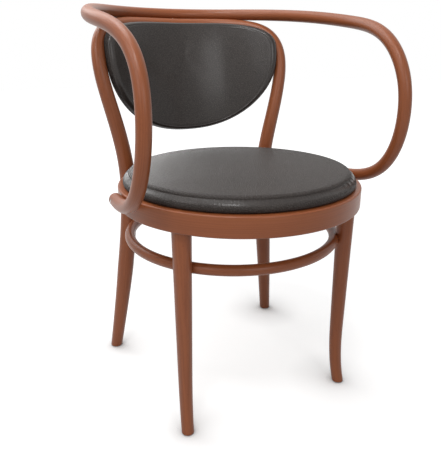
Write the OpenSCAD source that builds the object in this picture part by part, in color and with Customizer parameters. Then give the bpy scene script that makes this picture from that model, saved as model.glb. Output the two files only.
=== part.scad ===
// Bentwood armchair: bent beech rods round an upholstered seat ring, with an upholstered back panel.
// The floor is z = 0 and the chair faces -Y. Left, at -X, is a viewer's left in front of it.

/* [Seat ring] */
// Outside diameter of the bent seat ring
seat_ring_d = 468; // [440:1:490]
// Height of the ring's section
seat_ring_h = 37.5; // [32:0.5:44]
// Width of the ring's section
seat_ring_wall = 42; // [40:0.5:46]
// Height of the ring's top face above the floor
seat_ring_top = 438; // [410:1:460]
// Rounding of the ring's outer edges
ring_edge_r = 2; // [1:0.5:4]

/* [Seat] */
// Thickness of the plywood seat board
board_t = 9; // [6:0.5:12]
// Width of the step in the ring that carries the board
board_step = 14; // [10:0.5:18]
// Bare width of the ring's top face round the cushion
cushion_margin = 12; // [8:0.5:18]
// Height of the cushion's seam above the ring
cushion_seam_h = 21; // [16:0.5:26]
// How far the seam lies inside the cushion's foot
cushion_seam_in = 9; // [6:0.5:12]
// How far the cushion's side bulges past its foot
cushion_bulge = 4; // [2:0.5:6]
// Rise of the cushion's shoulder above its seam
cushion_shoulder = 5.5; // [4:0.5:8]
// Rise of the cushion's crown above its shoulder
cushion_crown = 5; // [2:0.5:10]
// Depth of the stitched seam's groove
seam_depth = 1.2; // [0.8:0.1:2]
// Thickness of the leather
leather_t = 1.6; // [1:0.1:2.4]

/* [Front legs] */
// Angle of a front leg on the ring, forward of the side
front_leg_angle = 34.6; // [30:0.1:42]
// Distance of a leg's centre inside the ring's outer face
front_leg_inset = 23.5; // [21:0.5:25]
// Radius of a leg under the ring
front_leg_top_r = 17.2; // [15:0.1:18.5]
// Radius of a leg at the floor
front_leg_foot_r = 11.6; // [9:0.1:14]
// How far a foot turns forward
foot_turn = 14.5; // [0:0.5:24]
// How far a foot turns outward
foot_turn_out = 3.5; // [0:0.5:10]
// Height of the turned stretch of a leg
foot_turn_h = 150; // [100:5:200]
// Radius of the round tenon on a leg
tenon_r = 11; // [8:0.5:12]
// Length of the tenon
tenon_l = 26; // [18:0.5:30]

/* [Back hoop] */
// Half of the hoop's greatest width above the seat
hoop_half_w = 214; // [200:1:230]
// Distance from the seat's centre back to the hoop's top
hoop_back = 318; // [300:1:335]
// Height of the hoop's top run
hoop_top = 731; // [700:1:770]
// Angle of a rear leg on the ring, behind the side
rear_leg_angle = 47.6; // [44:0.1:52]
// Sideways distance of a rear foot from the middle
rear_foot_x = 211; // [195:1:225]
// Distance of a rear foot behind the seat's centre
rear_foot_y = 223.5; // [205:1:245]
// Radius of the rod at the floor
hoop_foot_r = 13; // [11:0.1:14.5]
// Radius of the rod at its thickest, between the foot and the stretcher
hoop_leg_r = 17.6; // [15:0.1:18.5]
// Radius of the rod where it meets the seat ring
hoop_ring_r = 16.4; // [15:0.1:17.5]
// Radius of the rod at the top
hoop_top_r = 13; // [11:0.1:13.5]

/* [Arm rail] */
// Radius of the arm rail's rod
rail_r = 12; // [10.5:0.1:13]
// Half of the arms' greatest width, at the guide points
arm_half_w = 270; // [262:1:285]
// Distance from the seat's centre back to the rail's guide point
rail_back = 338; // [330:1:350]
// Distance from the seat's centre forward to the arms' guide points
arm_front = 173; // [160:1:190]
// Height of the rail above the floor
rail_top = 754; // [748:1:770]
// Angle of the arms' ends on the ring, behind the side
arm_end_angle = 5; // [2:0.5:12]
// Height of the arms' ends above the middle of the ring's section
arm_end_rise = 7; // [0:0.5:8]
// Depth of the curved seat cut in an arm's end
arm_seat_cut = 1.5; // [0.5:0.1:3]
// Rounding of the arms' ends
rod_end_round = 9; // [3:0.5:10]

/* [Stretcher ring] */
// Height of the stretcher ring's centre line
stretcher_z = 325; // [290:1:345]
// Radius of the stretcher's rod
stretcher_r = 10.1; // [8.5:0.1:12]
// Depth of its housing in the front legs
front_housing = 7; // [5:0.1:8]
// Depth of its housing in the rear legs
rear_housing = 0.8; // [0.5:0.1:3]

/* [Back panel] */
// Gap between the panel's side edges and the inside of the hoop's posts, seen from in front
panel_side_gap = 8; // [3:0.5:20]
// Height of the panel's top edge
panel_top = 734; // [722:1:745]
// Height of the panel along its slope
panel_h = 234; // [210:1:250]
// Share of the panel's height at which it is widest
panel_wide_share = 0.69; // [0.6:0.01:0.75]
// How far the panel's side edges come forward of its middle
panel_wrap = 87.8; // [72:0.1:91]
// Distance from the seat's centre back to the middle of the panel's top edge
panel_back = 281; // [276:1:286]
// Backward slope of the panel
panel_slope = 10.4; // [6:0.1:13]
// Thickness of the panel's edge
panel_edge_t = 20.6; // [17:0.2:24]
// Rise of the pad's crown in front of its edge
pad_crown = 5; // [2:0.5:9]
// Distance of the pad's stitched seam from its edge
pad_seam_in = 7; // [5:0.5:9]
// Thickness of the panel's plywood core
core_t = 6; // [5:0.5:7]

/* [Fasteners] */
// Radius of the bolts that hold the rear legs
leg_bolt_r = 3; // [2.5:0.25:4]
// Radius of the screws that hold the arms' ends
arm_screw_r = 2.5; // [2:0.25:3]
// Radius of the wood screws
screw_r = 2; // [1.5:0.1:2.5]
// Height of the glides under the feet
glide_h = 2; // [1:0.5:4]
// Radius of the glides
glide_r = 8; // [6:0.5:9]

/* [Hidden] */

wood = "#8a5038";
leather = "#4a4644";
ply = "#c9a777";
foam = "#d9cf9b";
steel = "#9a9a9c";
nylon = "#3a3634";

// Gap round a screw or bolt in its hole
hole_gap = 0.2;
// Gap of a glued or seated joint between round wooden pieces
seat_gap = 0.3;
// Gap round a tenon in its bore
tenon_gap = 0.1;
// Gap between a nut's washer and the round wall behind it
nut_gap = 0.2;
// Gap round the seat board in its step
board_gap = 0.5;
// Pin of a glide
glide_pin_r = 1.5;
glide_pin_l = 14;
// Gap between a soft piece and its neighbour
soft_gap = 0.3;
// How far a cut runs past the faces that it goes through
overrun = 2;
// Facets of round surfaces and of the rods
$fn = 72;
rod_sides = 20;
rod_steps = 5;
panel_sides = 64;
corner_steps = 5;

ring_r = seat_ring_d / 2;
ring_in_r = ring_r - seat_ring_wall;
ring_bottom = seat_ring_top - seat_ring_h;
ring_mid = seat_ring_top - seat_ring_h / 2;

// Vector, curve and rod helpers
function unit(v) = v / norm(v);
function flip_x(p) = [-p.x, p.y, p.z];
function polar(r, a, z = 0) = [r * cos(a), r * sin(a), z];
function between(a, b, t) = a + (b - a) * t;

// A point of a smooth cubic curve that four guide points pull on
function curve_point(p, i, t) =
    (pow(1 - t, 3) * p[i] + (3 * pow(t, 3) - 6 * pow(t, 2) + 4) * p[i + 1]
    + (-3 * pow(t, 3) + 3 * pow(t, 2) + 3 * t + 1) * p[i + 2] + pow(t, 3) * p[i + 3]) / 6;

// The centre line that follows guide points g, starting and ending on the first and the last one
function route(g, steps) =
    let (last = len(g) - 1, p = [2 * g[0] - g[1], each g, 2 * g[last] - g[last - 1]])
    [for (i = [0:last - 1]) for (k = [0:steps - 1]) curve_point(p, i, k / steps), g[last]];

// Guide points of a rod that is the same on both sides, from those of its right half
function both_sides(half) = [for (i = [len(half) - 1:-1:1]) flip_x(half[i]), each half];

function headings(r) = [for (i = [0:len(r) - 1]) unit(r[min(i + 1, len(r) - 1)] - r[max(i - 1, 0)])];
function square_to(v, t) = unit(v - (v * t) * t);
function side_vectors(t) =
    [for (i = 0, s = square_to([1, 1, 1], t[0]); i < len(t);
        i = i + 1, s = i < len(t) ? square_to(s, t[i]) : s) s];

// The point of a centre line on its right half at a height, or at a distance x from the middle
function at_height(r, z) =
    [for (i = [floor(len(r) / 2):len(r) - 2]) if ((r[i].z - z) * (r[i + 1].z - z) <= 0)
        between(r[i], r[i + 1], (z - r[i].z) / (r[i + 1].z - r[i].z))][0];
function at_x(r, x) =
    [for (i = [floor(len(r) / 2):len(r) - 2]) if ((r[i].x - x) * (r[i + 1].x - x) <= 0)
        between(r[i], r[i + 1], (x - r[i].x) / (r[i + 1].x - r[i].x))][0];

// The same line with rings for round ends of radius d, each with how much thinner the rod is there
function round_ended(r, d) =
    let (last = len(r) - 1, a0 = unit(r[1] - r[0]), a1 = unit(r[last - 1] - r[last]),
        turns = [for (i = [0:corner_steps]) 90 * i / corner_steps])
    [for (i = [corner_steps:-1:0]) [r[0] + d * (1 - sin(turns[i])) * a0, d * (1 - cos(turns[i]))],
        for (i = [1:last - 1]) if (norm(r[i] - r[0]) > d && norm(r[i] - r[last]) > d) [r[i], 0],
        for (a = turns) [r[last] + d * (1 - sin(a)) * a1, d * (1 - cos(a))]];

// A closed skin over rings of n points each, its triangles leaning one way or the other
module skin(points, n, rings, lean = 0) {
    polyhedron(points, concat(
        [[for (k = [0:n - 1]) k]],
        [[for (k = [n - 1:-1:0]) (rings - 1) * n + k]],
        [for (i = [0:rings - 2]) for (k = [0:n - 1])
            [i * n + k, (i + 1) * n + k, (i + 1 - lean) * n + (k + 1) % n]],
        [for (i = [0:rings - 2]) for (k = [0:n - 1])
            [(i + lean) * n + k, (i + 1) * n + (k + 1) % n, i * n + (k + 1) % n]]), convexity = 10);
}

// A round rod along a centre line, with its radius at each ring
module rod(r, radii) {
    t = headings(r);
    s = side_vectors(t);
    skin([for (i = [0:len(r) - 1]) for (k = [0:rod_sides - 1]) let (a = 360 * k / rod_sides)
        r[i] + radii[i] * (cos(a) * s[i] + sin(a) * cross(t[i], s[i]))], rod_sides, len(r));
}

// Puts a piece that points along +Z at a place, pointing along a direction
module aimed(p, d) {
    translate(p) rotate([0, acos(d.z / norm(d)), atan2(d.y, d.x)]) children();
}

module both() {
    children();
    mirror([1, 0, 0]) children();
}

// Fasteners: each points along +Z from the underside of its head at the origin
head_share = 2;
head_h_share = 1.1;
nut_h_share = 1.6;
washer_h_share = 0.4;
washer_r_share = 2.4;

module domed_head(r) {
    head_r = head_share * r;
    head_h = head_h_share * r;
    ball_r = (pow(head_r, 2) + pow(head_h, 2)) / (2 * head_h);
    rotate_extrude() polygon([[0, 0], [head_r, 0],
        for (i = [1:corner_steps]) let (a = asin(head_r / ball_r) * (1 - i / corner_steps))
            [ball_r * sin(a), ball_r - head_h - ball_r * cos(a)]]);
}

module screw(l, r) {
    domed_head(r);
    cylinder(h = l - r, r = r);
    translate([0, 0, l - r]) cylinder(h = r, r1 = r, r2 = r / 2);
}

module bolt(l, r) {
    domed_head(r);
    cylinder(h = l, r = r);
}

module screw_hole(l, r) {
    translate([0, 0, -head_h_share * r - overrun])
        cylinder(h = head_h_share * r + overrun, r = head_share * r + hole_gap);
    translate([0, 0, -overrun]) cylinder(h = l + overrun + hole_gap, r = r + hole_gap);
}

// A washer and a hexagon nut on a bolt, from the face that the washer lies on
module nut(r) {
    difference() {
        union() {
            cylinder(h = washer_h_share * r, r = washer_r_share * r);
            translate([0, 0, washer_h_share * r]) cylinder(h = nut_h_share * r, r = head_share * r, $fn = 6);
        }
        translate([0, 0, -overrun])
            cylinder(h = (washer_h_share + nut_h_share) * r + 2 * overrun, r = r + hole_gap);
    }
}

// Back hoop: rear legs and back in one rod. Shares of half width, depth and height of its guide points.
hoop_shares = [[0, 1, 1], [0.36, 0.955, 1.002], [0.68, 0.835, 1], [0.9, 0.705, 0.985],
    [1, 0.615, 0.93], [0.97, 0.575, 0.837], [0.86, 0.56, 0.717]];
// Shares of the way from the ring to the foot: down, sideways and back
rear_leg_shares = [[0.29, 0.08, 0.11], [0.63, 0.48, 0.42]];
hoop_thick_share = 0.5;
hoop_slim_share = 0.96;

rear_joint = polar(ring_r + hoop_ring_r + seat_gap, rear_leg_angle, ring_mid);
rear_foot = [rear_foot_x, rear_foot_y, 0];
hoop_upper = [for (s = hoop_shares) [s.x * hoop_half_w, s.y * hoop_back, s.z * hoop_top]];
hoop_lower = [for (s = rear_leg_shares)
    [between(rear_joint.x, rear_foot.x, s.y), between(rear_joint.y, rear_foot.y, s.z),
        between(rear_joint.z, rear_foot.z, s.x)]];
// The guide point that makes the rod pass through its joint on the ring
joint_guide = (6 * rear_joint - hoop_upper[len(hoop_upper) - 1] - hoop_lower[0]) / 4;
hoop_end = [rear_foot_x, rear_foot_y, -2 * glide_h];
hoop_route = route(both_sides(concat(hoop_upper, [joint_guide], hoop_lower, [hoop_end])), rod_steps);
function hoop_radius(z) = lookup(z, [[0, hoop_foot_r], [hoop_thick_share * ring_mid, hoop_leg_r],
    [ring_mid, hoop_ring_r], [hoop_slim_share * hoop_top, hoop_top_r]]);

// Arm rail: shares of half width, of the way from the front to the back, and of the way up
arm_shares = [[0, 1, 1], [0.39, 0.95, 1], [0.7, 0.805, 0.998], [0.895, 0.57, 0.975], [1, 0.365, 0.933],
    [0.94, 0.195, 0.895], [0.9, 0.07, 0.79], [0.905, 0, 0.59], [0.92, 0.01, 0.31], [0.93, 0.095, 0.1]];
arm_near_angle = -11.5;
arm_near_share = 0.75;
arm_near_rise_share = 0.15;
arm_screw_share = 0.75;

arm_end_z = ring_mid + arm_end_rise;
arm_end = polar(ring_r + rail_r - arm_seat_cut, arm_end_angle, arm_end_z);
arm_near = polar(ring_r + rail_r + arm_near_share * rail_r, arm_near_angle,
    arm_end_z + arm_near_rise_share * rail_r);
arm_upper = [for (s = arm_shares)
    [s.x * arm_half_w, between(-arm_front, rail_back, s.y), between(ring_mid, rail_top, s.z)]];
rail_route = route(both_sides(concat(arm_upper, [arm_near, arm_end])), rod_steps);

// Front legs: straight and tapered, with a foot that turns out
front_leg_xy = polar(ring_r - front_leg_inset, -front_leg_angle);
leg_rings = 22;
function turn_at(z) = pow(max(0, 1 - z / foot_turn_h), 3);
function leg_centre(z) = [front_leg_xy.x + foot_turn_out * turn_at(z),
    front_leg_xy.y - foot_turn * turn_at(z), z];
function leg_radius(z) = between(front_leg_foot_r, front_leg_top_r, z / ring_bottom);
// Heights of the leg's rings, closer together near the foot
foot_ring_power = 1.3;
leg_heights = [for (i = [0:leg_rings])
    between(-2 * glide_h, ring_bottom, pow(i / leg_rings, foot_ring_power))];

// Stretcher ring: a circle that touches the four legs from inside, let a little into them
front_at = leg_centre(stretcher_z);
rear_at = at_height(hoop_route, stretcher_z);
reach_difference = leg_radius(stretcher_z) - front_housing - hoop_radius(stretcher_z) + rear_housing;
function flat_distance(p, y) = norm([p.x, p.y - y]);
function ring_centre(y, n) = n == 0 ? y : ring_centre(
    y - (flat_distance(front_at, y) - flat_distance(rear_at, y) - reach_difference)
    / ((y - front_at.y) / flat_distance(front_at, y) + (rear_at.y - y) / flat_distance(rear_at, y)), n - 1);
stretcher_y = ring_centre((front_at.y + rear_at.y) / 2, 6);
stretcher_ring_r = flat_distance(front_at, stretcher_y) - leg_radius(stretcher_z) + front_housing
    - stretcher_r - seat_gap;
stretcher_centre = [0, stretcher_y, stretcher_z];
stretcher_housing_r = stretcher_ring_r + stretcher_r + seat_gap;

// Back panel: drawn upright round its own middle, bent in plan, then sloped back
panel_half_w = hoop_half_w - hoop_top_r - panel_side_gap;
panel_bend_r = (pow(panel_half_w, 2) + pow(panel_wrap, 2)) / (2 * panel_wrap);
panel_low_h = panel_wide_share * panel_h;
panel_high_h = panel_h - panel_low_h;
panel_origin = [0, panel_back - panel_high_h * sin(panel_slope), panel_top - panel_high_h * cos(panel_slope)];
top_corner_power = 2.9;
low_corner_power = 2.3;
edge_r = panel_edge_t / 2;
// How far the core lies inside the panel's outline
core_in = 8;

// Distance of the panel's outline from its middle in direction a, drawn in by d
function outline_reach(a, d) =
    let (h = sin(a) > 0 ? panel_high_h - d : panel_low_h - d, w = panel_half_w - d,
        m = sin(a) > 0 ? top_corner_power : low_corner_power)
    pow(pow(abs(cos(a)) / w, m) + pow(abs(sin(a)) / h, m), -1 / m);
function outline_point(a, d, s = 1) = s * outline_reach(a, d) * [cos(a), sin(a)];

// Directions of the outline's corners, all the same length apart along it
outline_fine = 4 * panel_sides;
outline_runs = [for (i = 0, l = 0; i <= outline_fine; i = i + 1,
    l = l + norm(outline_point(360 * i / outline_fine, 0)
        - outline_point(360 * (i - 1) / outline_fine, 0))) l];
outline_angles = [for (k = [0:panel_sides - 1]) lookup(k / panel_sides * outline_runs[outline_fine],
    [for (i = [0:outline_fine]) [outline_runs[i], 360 * i / outline_fine]])];

// A point of the panel at p in its outline's plane and t behind its middle surface, bent in plan
function bent(p, t) = let (a = asin(p.x / panel_bend_r))
    [(panel_bend_r + t) * sin(a), (panel_bend_r + t) * cos(a) - panel_bend_r, p.y];
// The same in the chair's frame
function sloped(q) = panel_origin + [q.x, q.y * cos(panel_slope) + q.z * sin(panel_slope),
    -q.y * sin(panel_slope) + q.z * cos(panel_slope)];
module panel_place() {
    translate(panel_origin) rotate([-panel_slope, 0, 0]) children();
}

// A padded sheet from rings of [inward distance, scale, place behind the middle surface]
module padded_sheet(rings, lean = 0) {
    skin([for (g = rings) for (k = [0:panel_sides - 1])
        bent(outline_point(-outline_angles[k], g[0], g[1]), g[2])], panel_sides, len(rings), lean);
}

// Screws: [place of the head's underside, direction, length]
stretcher_screw_share = 3.5;
stretcher_screws_at = [for (leg = [front_at, rear_at])
    let (d = unit([leg.x, leg.y - stretcher_y, 0]))
    [stretcher_centre + (stretcher_ring_r - stretcher_r + screw_r) * d, d,
        stretcher_screw_share * stretcher_r]];
tenon_screw_d = unit([front_leg_xy.x, front_leg_xy.y, 0]);
tenon_screw_l = front_leg_inset;
tenon_screw_at = polar(ring_in_r + screw_r, -front_leg_angle, ring_mid);
rear_bolt_d = polar(1, rear_leg_angle);
rear_bolt_in = polar(ring_in_r, rear_leg_angle, ring_mid);
rear_bolt_head = rear_joint + (hoop_ring_r - leg_bolt_r) * rear_bolt_d;
bolt_end_share = 0.5;
nut_stack_share = washer_h_share + nut_h_share + bolt_end_share;
rear_bolt_l = norm(rear_bolt_head - rear_bolt_in) + nut_stack_share * leg_bolt_r;
arm_last = len(rail_route) - 1;
arm_screw_on = at_x([for (i = [arm_last - 3 * rod_steps:arm_last]) rail_route[i]],
    between(arm_near.x, arm_end.x, arm_screw_share));
arm_screw_d = -unit([arm_screw_on.x, arm_screw_on.y, 0]);
arm_screw_at = arm_screw_on - (rail_r - arm_screw_r) * arm_screw_d;
arm_screw_l = norm([arm_screw_at.x, arm_screw_at.y]) - ring_in_r - board_step - 2 * arm_screw_r;
rail_screw_shares = [0, 0.5];
rail_screws_at = [for (s = rail_screw_shares)
    let (a = at_x(rail_route, s * hoop_half_w), b = at_x(hoop_route, s * hoop_half_w), d = unit(b - a))
    [a - (rail_r - screw_r) * d, d, 2 * rail_r + hoop_top_r]];
board_screw_angles = [-90, -8, 90, 188];
board_screw_l = seat_ring_h - board_t / 3;
board_screw_ring_r = ring_in_r + board_step / 2;

module seat_ring() {
    edge_round_at = ring_r - ring_edge_r;
    color(wood) difference() {
        rotate_extrude() polygon([[ring_in_r, ring_bottom],
            for (i = [0:corner_steps]) let (a = -90 + 90 * i / corner_steps)
                [edge_round_at + ring_edge_r * cos(a), ring_bottom + ring_edge_r * (1 + sin(a))],
            for (i = [0:corner_steps]) let (a = 90 * i / corner_steps)
                [edge_round_at + ring_edge_r * cos(a), seat_ring_top - ring_edge_r * (1 - sin(a))],
            [ring_in_r + board_step, seat_ring_top], [ring_in_r + board_step, seat_ring_top - board_t],
            [ring_in_r, seat_ring_top - board_t]]);
        both() {
            translate([front_leg_xy.x, front_leg_xy.y, ring_bottom - overrun])
                cylinder(h = tenon_l + tenon_gap + overrun, r = tenon_r + tenon_gap);
            aimed(tenon_screw_at, tenon_screw_d) screw_hole(tenon_screw_l, screw_r);
            aimed(rear_bolt_in - overrun * rear_bolt_d, rear_bolt_d)
                cylinder(h = seat_ring_wall + 2 * overrun, r = leg_bolt_r + hole_gap);
            aimed(arm_screw_at, arm_screw_d) screw_hole(arm_screw_l, arm_screw_r);
        }
        for (a = board_screw_angles)
            aimed(polar(board_screw_ring_r, a, ring_bottom + screw_r), [0, 0, 1])
                screw_hole(board_screw_l, screw_r);
    }
}

module seat_board() {
    color(ply) difference() {
        translate([0, 0, seat_ring_top - board_t])
            cylinder(h = board_t, r = ring_in_r + board_step - board_gap, $fn = 2 * $fn);
        for (a = board_screw_angles)
            aimed(polar(board_screw_ring_r, a, ring_bottom + screw_r), [0, 0, 1])
                screw_hole(board_screw_l, screw_r);
    }
}

// Half section of the cushion, drawn in by d on every side but its foot
cushion_foot_r = ring_r - cushion_margin;
cushion_seam_r = cushion_foot_r - cushion_seam_in;
function bulge_at(t) = sin(180 * t);
function cushion_section(d) = [
    [0, soft_gap + d], [cushion_foot_r - cushion_bulge - d, soft_gap + d],
    for (i = [1:9]) let (t = i / 10)
        [between(cushion_foot_r, cushion_seam_r, pow(t, 2)) + cushion_bulge * bulge_at(t) - d,
            between(soft_gap + d, cushion_seam_h, t)],
    [cushion_seam_r - seam_depth - d, cushion_seam_h],
    for (i = [1:6]) let (a = 90 * i / 6)
        [cushion_seam_r - d - cushion_seam_in * (1 - cos(a)),
            cushion_seam_h + (cushion_shoulder - d) * sin(a)],
    for (i = [1:8]) let (t = i / 8)
        [(cushion_seam_r - d - cushion_seam_in) * (1 - t),
            cushion_seam_h - d + cushion_shoulder + cushion_crown * (1 - pow(1 - t, 2))]];

module cushion_solid(d) {
    translate([0, 0, seat_ring_top]) rotate_extrude($fn = 2 * $fn) polygon(cushion_section(d));
}

module seat_foam() {
    color(foam) cushion_solid(leather_t + soft_gap);
}

module seat_cover() {
    color(leather) difference() {
        cushion_solid(0);
        cushion_solid(leather_t);
    }
}

module front_leg() {
    d = unit([front_at.x, front_at.y - stretcher_y, 0]);
    difference() {
        union() {
            rod([for (z = leg_heights) leg_centre(z)], [for (z = leg_heights) leg_radius(z)]);
            translate([front_leg_xy.x, front_leg_xy.y, ring_bottom - overrun])
                cylinder(h = tenon_l + overrun, r = tenon_r);
        }
        translate([leg_centre(0).x, leg_centre(0).y, glide_h - 2 * front_leg_foot_r])
            cylinder(h = 2 * front_leg_foot_r, r = 2 * front_leg_foot_r);
        translate([0, stretcher_y, stretcher_z - stretcher_r - seat_gap])
            cylinder(h = 2 * (stretcher_r + seat_gap), r = stretcher_housing_r, $fn = 2 * $fn);
        aimed(stretcher_screws_at[0][0], d) screw_hole(stretcher_screws_at[0][2], screw_r);
        aimed(tenon_screw_at, tenon_screw_d) screw_hole(tenon_screw_l, screw_r);
        translate(leg_centre(0)) glide_hole();
    }
}

module front_leg_left() {
    color(wood) mirror([1, 0, 0]) front_leg();
}

module front_leg_right() {
    color(wood) front_leg();
}

module back_hoop() {
    d = unit([rear_at.x, rear_at.y - stretcher_y, 0]);
    color(wood) difference() {
        rod(hoop_route, [for (p = hoop_route) hoop_radius(p.z)]);
        translate([0, 0, glide_h - 2 * hoop_foot_r])
            cylinder(h = 2 * hoop_foot_r, r = 2 * rear_foot_y);
        translate([0, stretcher_y, stretcher_z - stretcher_r - seat_gap])
            cylinder(h = 2 * (stretcher_r + seat_gap), r = stretcher_housing_r, $fn = 2 * $fn);
        both() {
            aimed(stretcher_screws_at[1][0], d) screw_hole(stretcher_screws_at[1][2], screw_r);
            aimed(rear_bolt_head, -rear_bolt_d) screw_hole(2 * hoop_ring_r + overrun, leg_bolt_r);
            translate([rear_foot.x, rear_foot.y, 0]) glide_hole();
        }
        for (s = rail_screws_at) both() aimed(s[0], s[1]) screw_hole(s[2], screw_r);
        for (s = panel_screws_at) both() aimed(s[0], s[1]) screw_hole(s[2], screw_r);
    }
}

module arm_rail() {
    line = round_ended(rail_route, rod_end_round);
    color(wood) difference() {
        rod([for (e = line) e[0]], [for (e = line) rail_r - e[1]]);
        translate([0, 0, ring_bottom]) cylinder(h = seat_ring_h, r = ring_r + seat_gap, $fn = 2 * $fn);
        both() aimed(arm_screw_at, arm_screw_d) screw_hole(arm_screw_l, arm_screw_r);
        for (s = rail_screws_at) both() aimed(s[0], s[1]) screw_hole(s[2], screw_r);
    }
}

module stretcher_ring() {
    color(wood) difference() {
        translate(stretcher_centre) rotate_extrude($fn = 2 * $fn)
            translate([stretcher_ring_r, 0]) circle(r = stretcher_r, $fn = $fn / 2);
        for (s = stretcher_screws_at) both() aimed(s[0], s[1]) screw_hole(s[2], screw_r);
    }
}

// The pad: crowned in front, a stitched groove near its edge, a round edge and a plain back
pad_face_shares = [0.12, 0.3, 0.48, 0.64, 0.78, 0.9];
meeting_face_shares = [0.75, 0.45, 0.15, 0.04];
edge_turn = 75;
module back_pad() {
    seam_in = pad_seam_in + seam_depth;
    color(leather) panel_place() padded_sheet([
        for (s = pad_face_shares) [seam_in + seam_depth, s, -edge_r - pad_crown * (1 - pow(s, 2))],
        [seam_in + seam_depth, 1, -edge_r],
        [seam_in, 1, -edge_r],
        [pad_seam_in, 1, -edge_r + seam_depth],
        for (i = [0:corner_steps]) let (a = edge_turn * (1 - i / corner_steps))
            [(pad_seam_in - seam_depth) * (1 - cos(a)) / (1 - cos(edge_turn)), 1, -edge_r * sin(a)],
        for (s = meeting_face_shares) [0, s, 0]]);
}

// The space inside the panel's curve, up to t behind its middle surface
module bend_inside(t) {
    translate([0, -panel_bend_r, -panel_low_h - overrun])
        cylinder(h = panel_h + 2 * overrun, r = panel_bend_r + t, $fn = 6 * $fn);
}

// A bent board in the panel's outline drawn in by d, between t0 and t1 behind the middle surface
module core_shape(d, t0, t1) {
    intersection() {
        difference() {
            bend_inside(t1);
            bend_inside(t0);
        }
        translate([0, edge_r + overrun, 0]) rotate([90, 0, 0]) linear_extrude(panel_bend_r)
            polygon([for (a = outline_angles) outline_point(a, d)]);
    }
}

module back_core() {
    color(ply) difference() {
        panel_place() core_shape(core_in, soft_gap, soft_gap + core_t);
        for (s = panel_screws_at) both() aimed(s[0], s[1]) screw_hole(s[2], screw_r);
    }
}

// The rear cover: a shallow tray round the core, its face in the same facets as the pad's back
module back_cover() {
    last = len(meeting_face_shares) - 1;
    color(leather) difference() {
        panel_place() difference() {
            padded_sheet([
                for (i = [last:-1:0]) [0, meeting_face_shares[i], soft_gap],
                for (i = [0:corner_steps]) let (a = edge_turn * i / corner_steps)
                    [edge_r * (1 - cos(a)), 1, soft_gap + (edge_r - soft_gap) * sin(a)],
                for (s = meeting_face_shares) [edge_r, s, edge_r]], lean = 1);
            core_shape(core_in - soft_gap, -edge_r, 2 * soft_gap + core_t);
        }
        for (s = panel_screws_at) both() aimed(s[0], s[1]) screw_hole(s[2], screw_r);
    }
}

// Panel screws: from the back of the hoop, through spacers, into the core
panel_screw_x_shares = [0.33, 0.77];
panel_screws_on = [for (x = panel_screw_x_shares) at_x(hoop_route, x * hoop_half_w)];
// Shares of the way from the panel's middle to the place that the hoop is square behind
panel_screw_pull_shares = [[1, 0.75], [0.98, 0.72]];
function square_behind(p) = let (q = p - panel_origin, y = q.y * cos(panel_slope) - q.z * sin(panel_slope))
    [q.x * panel_bend_r / norm([q.x, y + panel_bend_r]), q.y * sin(panel_slope) + q.z * cos(panel_slope)];
panel_screws_at = [for (i = [0:1])
    let (p = panel_screws_on[i], w = panel_screw_pull_shares[i], m = square_behind(p),
        q = sloped(bent([w.x * m.x, w.y * m.y], soft_gap + core_t / 2)), d = unit(q - p))
    [p - (hoop_top_r - screw_r) * d, d, norm(q - p) + hoop_top_r - screw_r]];
spacer_r = 3 * screw_r;

// The spacers are cut to fit the round of the hoop and the curve of the cover
module panel_spacers() {
    color(nylon) both() for (i = [0:1]) difference() {
        at = panel_screws_at[i];
        on = panel_screws_on[i];
        along = on - at_x(hoop_route, on.x - spacer_r);
        aimed(on, at[1]) cylinder(h = at[2] - hoop_top_r, r = spacer_r);
        aimed(on - 3 * along, along) cylinder(h = 6 * norm(along), r = hoop_top_r + 2 * soft_gap);
        panel_place() translate([0, -panel_bend_r, 0])
            cylinder(h = 2 * panel_high_h, r = panel_bend_r + edge_r + soft_gap, $fn = 6 * $fn);
        aimed(at[0], at[1]) screw_hole(at[2], screw_r);
    }
}

module panel_screws() {
    color(steel) both() for (s = panel_screws_at) aimed(s[0], s[1]) screw(s[2], screw_r);
}

module glide_hole() {
    translate([0, 0, -overrun])
        cylinder(h = glide_pin_l + glide_h + overrun + hole_gap, r = glide_pin_r + hole_gap);
}

module glide() {
    cylinder(h = glide_h, r1 = glide_r - glide_h / 2, r2 = glide_r);
    cylinder(h = glide_h + glide_pin_l, r = glide_pin_r);
}

module foot_glides() {
    color(nylon) both() {
        translate(leg_centre(0)) glide();
        translate(rear_foot) glide();
    }
}

module rear_leg_bolts() {
    color(steel) both() aimed(rear_bolt_head, -rear_bolt_d) bolt(rear_bolt_l, leg_bolt_r);
}

module rear_leg_nuts() {
    color(steel) both() aimed(rear_bolt_in - nut_gap * rear_bolt_d, -rear_bolt_d) nut(leg_bolt_r);
}

module arm_screws() {
    color(steel) both() aimed(arm_screw_at, arm_screw_d) screw(arm_screw_l, arm_screw_r);
}

module rail_screws() {
    color(steel) {
        aimed(rail_screws_at[0][0], rail_screws_at[0][1]) screw(rail_screws_at[0][2], screw_r);
        both() aimed(rail_screws_at[1][0], rail_screws_at[1][1]) screw(rail_screws_at[1][2], screw_r);
    }
}

module seat_board_screws() {
    color(steel) for (a = board_screw_angles)
        aimed(polar(board_screw_ring_r, a, ring_bottom + screw_r), [0, 0, 1]) screw(board_screw_l, screw_r);
}

module stretcher_screws() {
    color(steel) both() for (s = stretcher_screws_at) aimed(s[0], s[1]) screw(s[2], screw_r);
}

module tenon_screws() {
    color(steel) both() aimed(tenon_screw_at, tenon_screw_d) screw(tenon_screw_l, screw_r);
}

// The origin is on the floor under the middle of the chair's length and width
rail_rear = max([for (p = rail_route) p.y]) + rail_r;
module placed() {
    translate([0, (ring_r - rail_rear) / 2, 0]) children();
}

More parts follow.
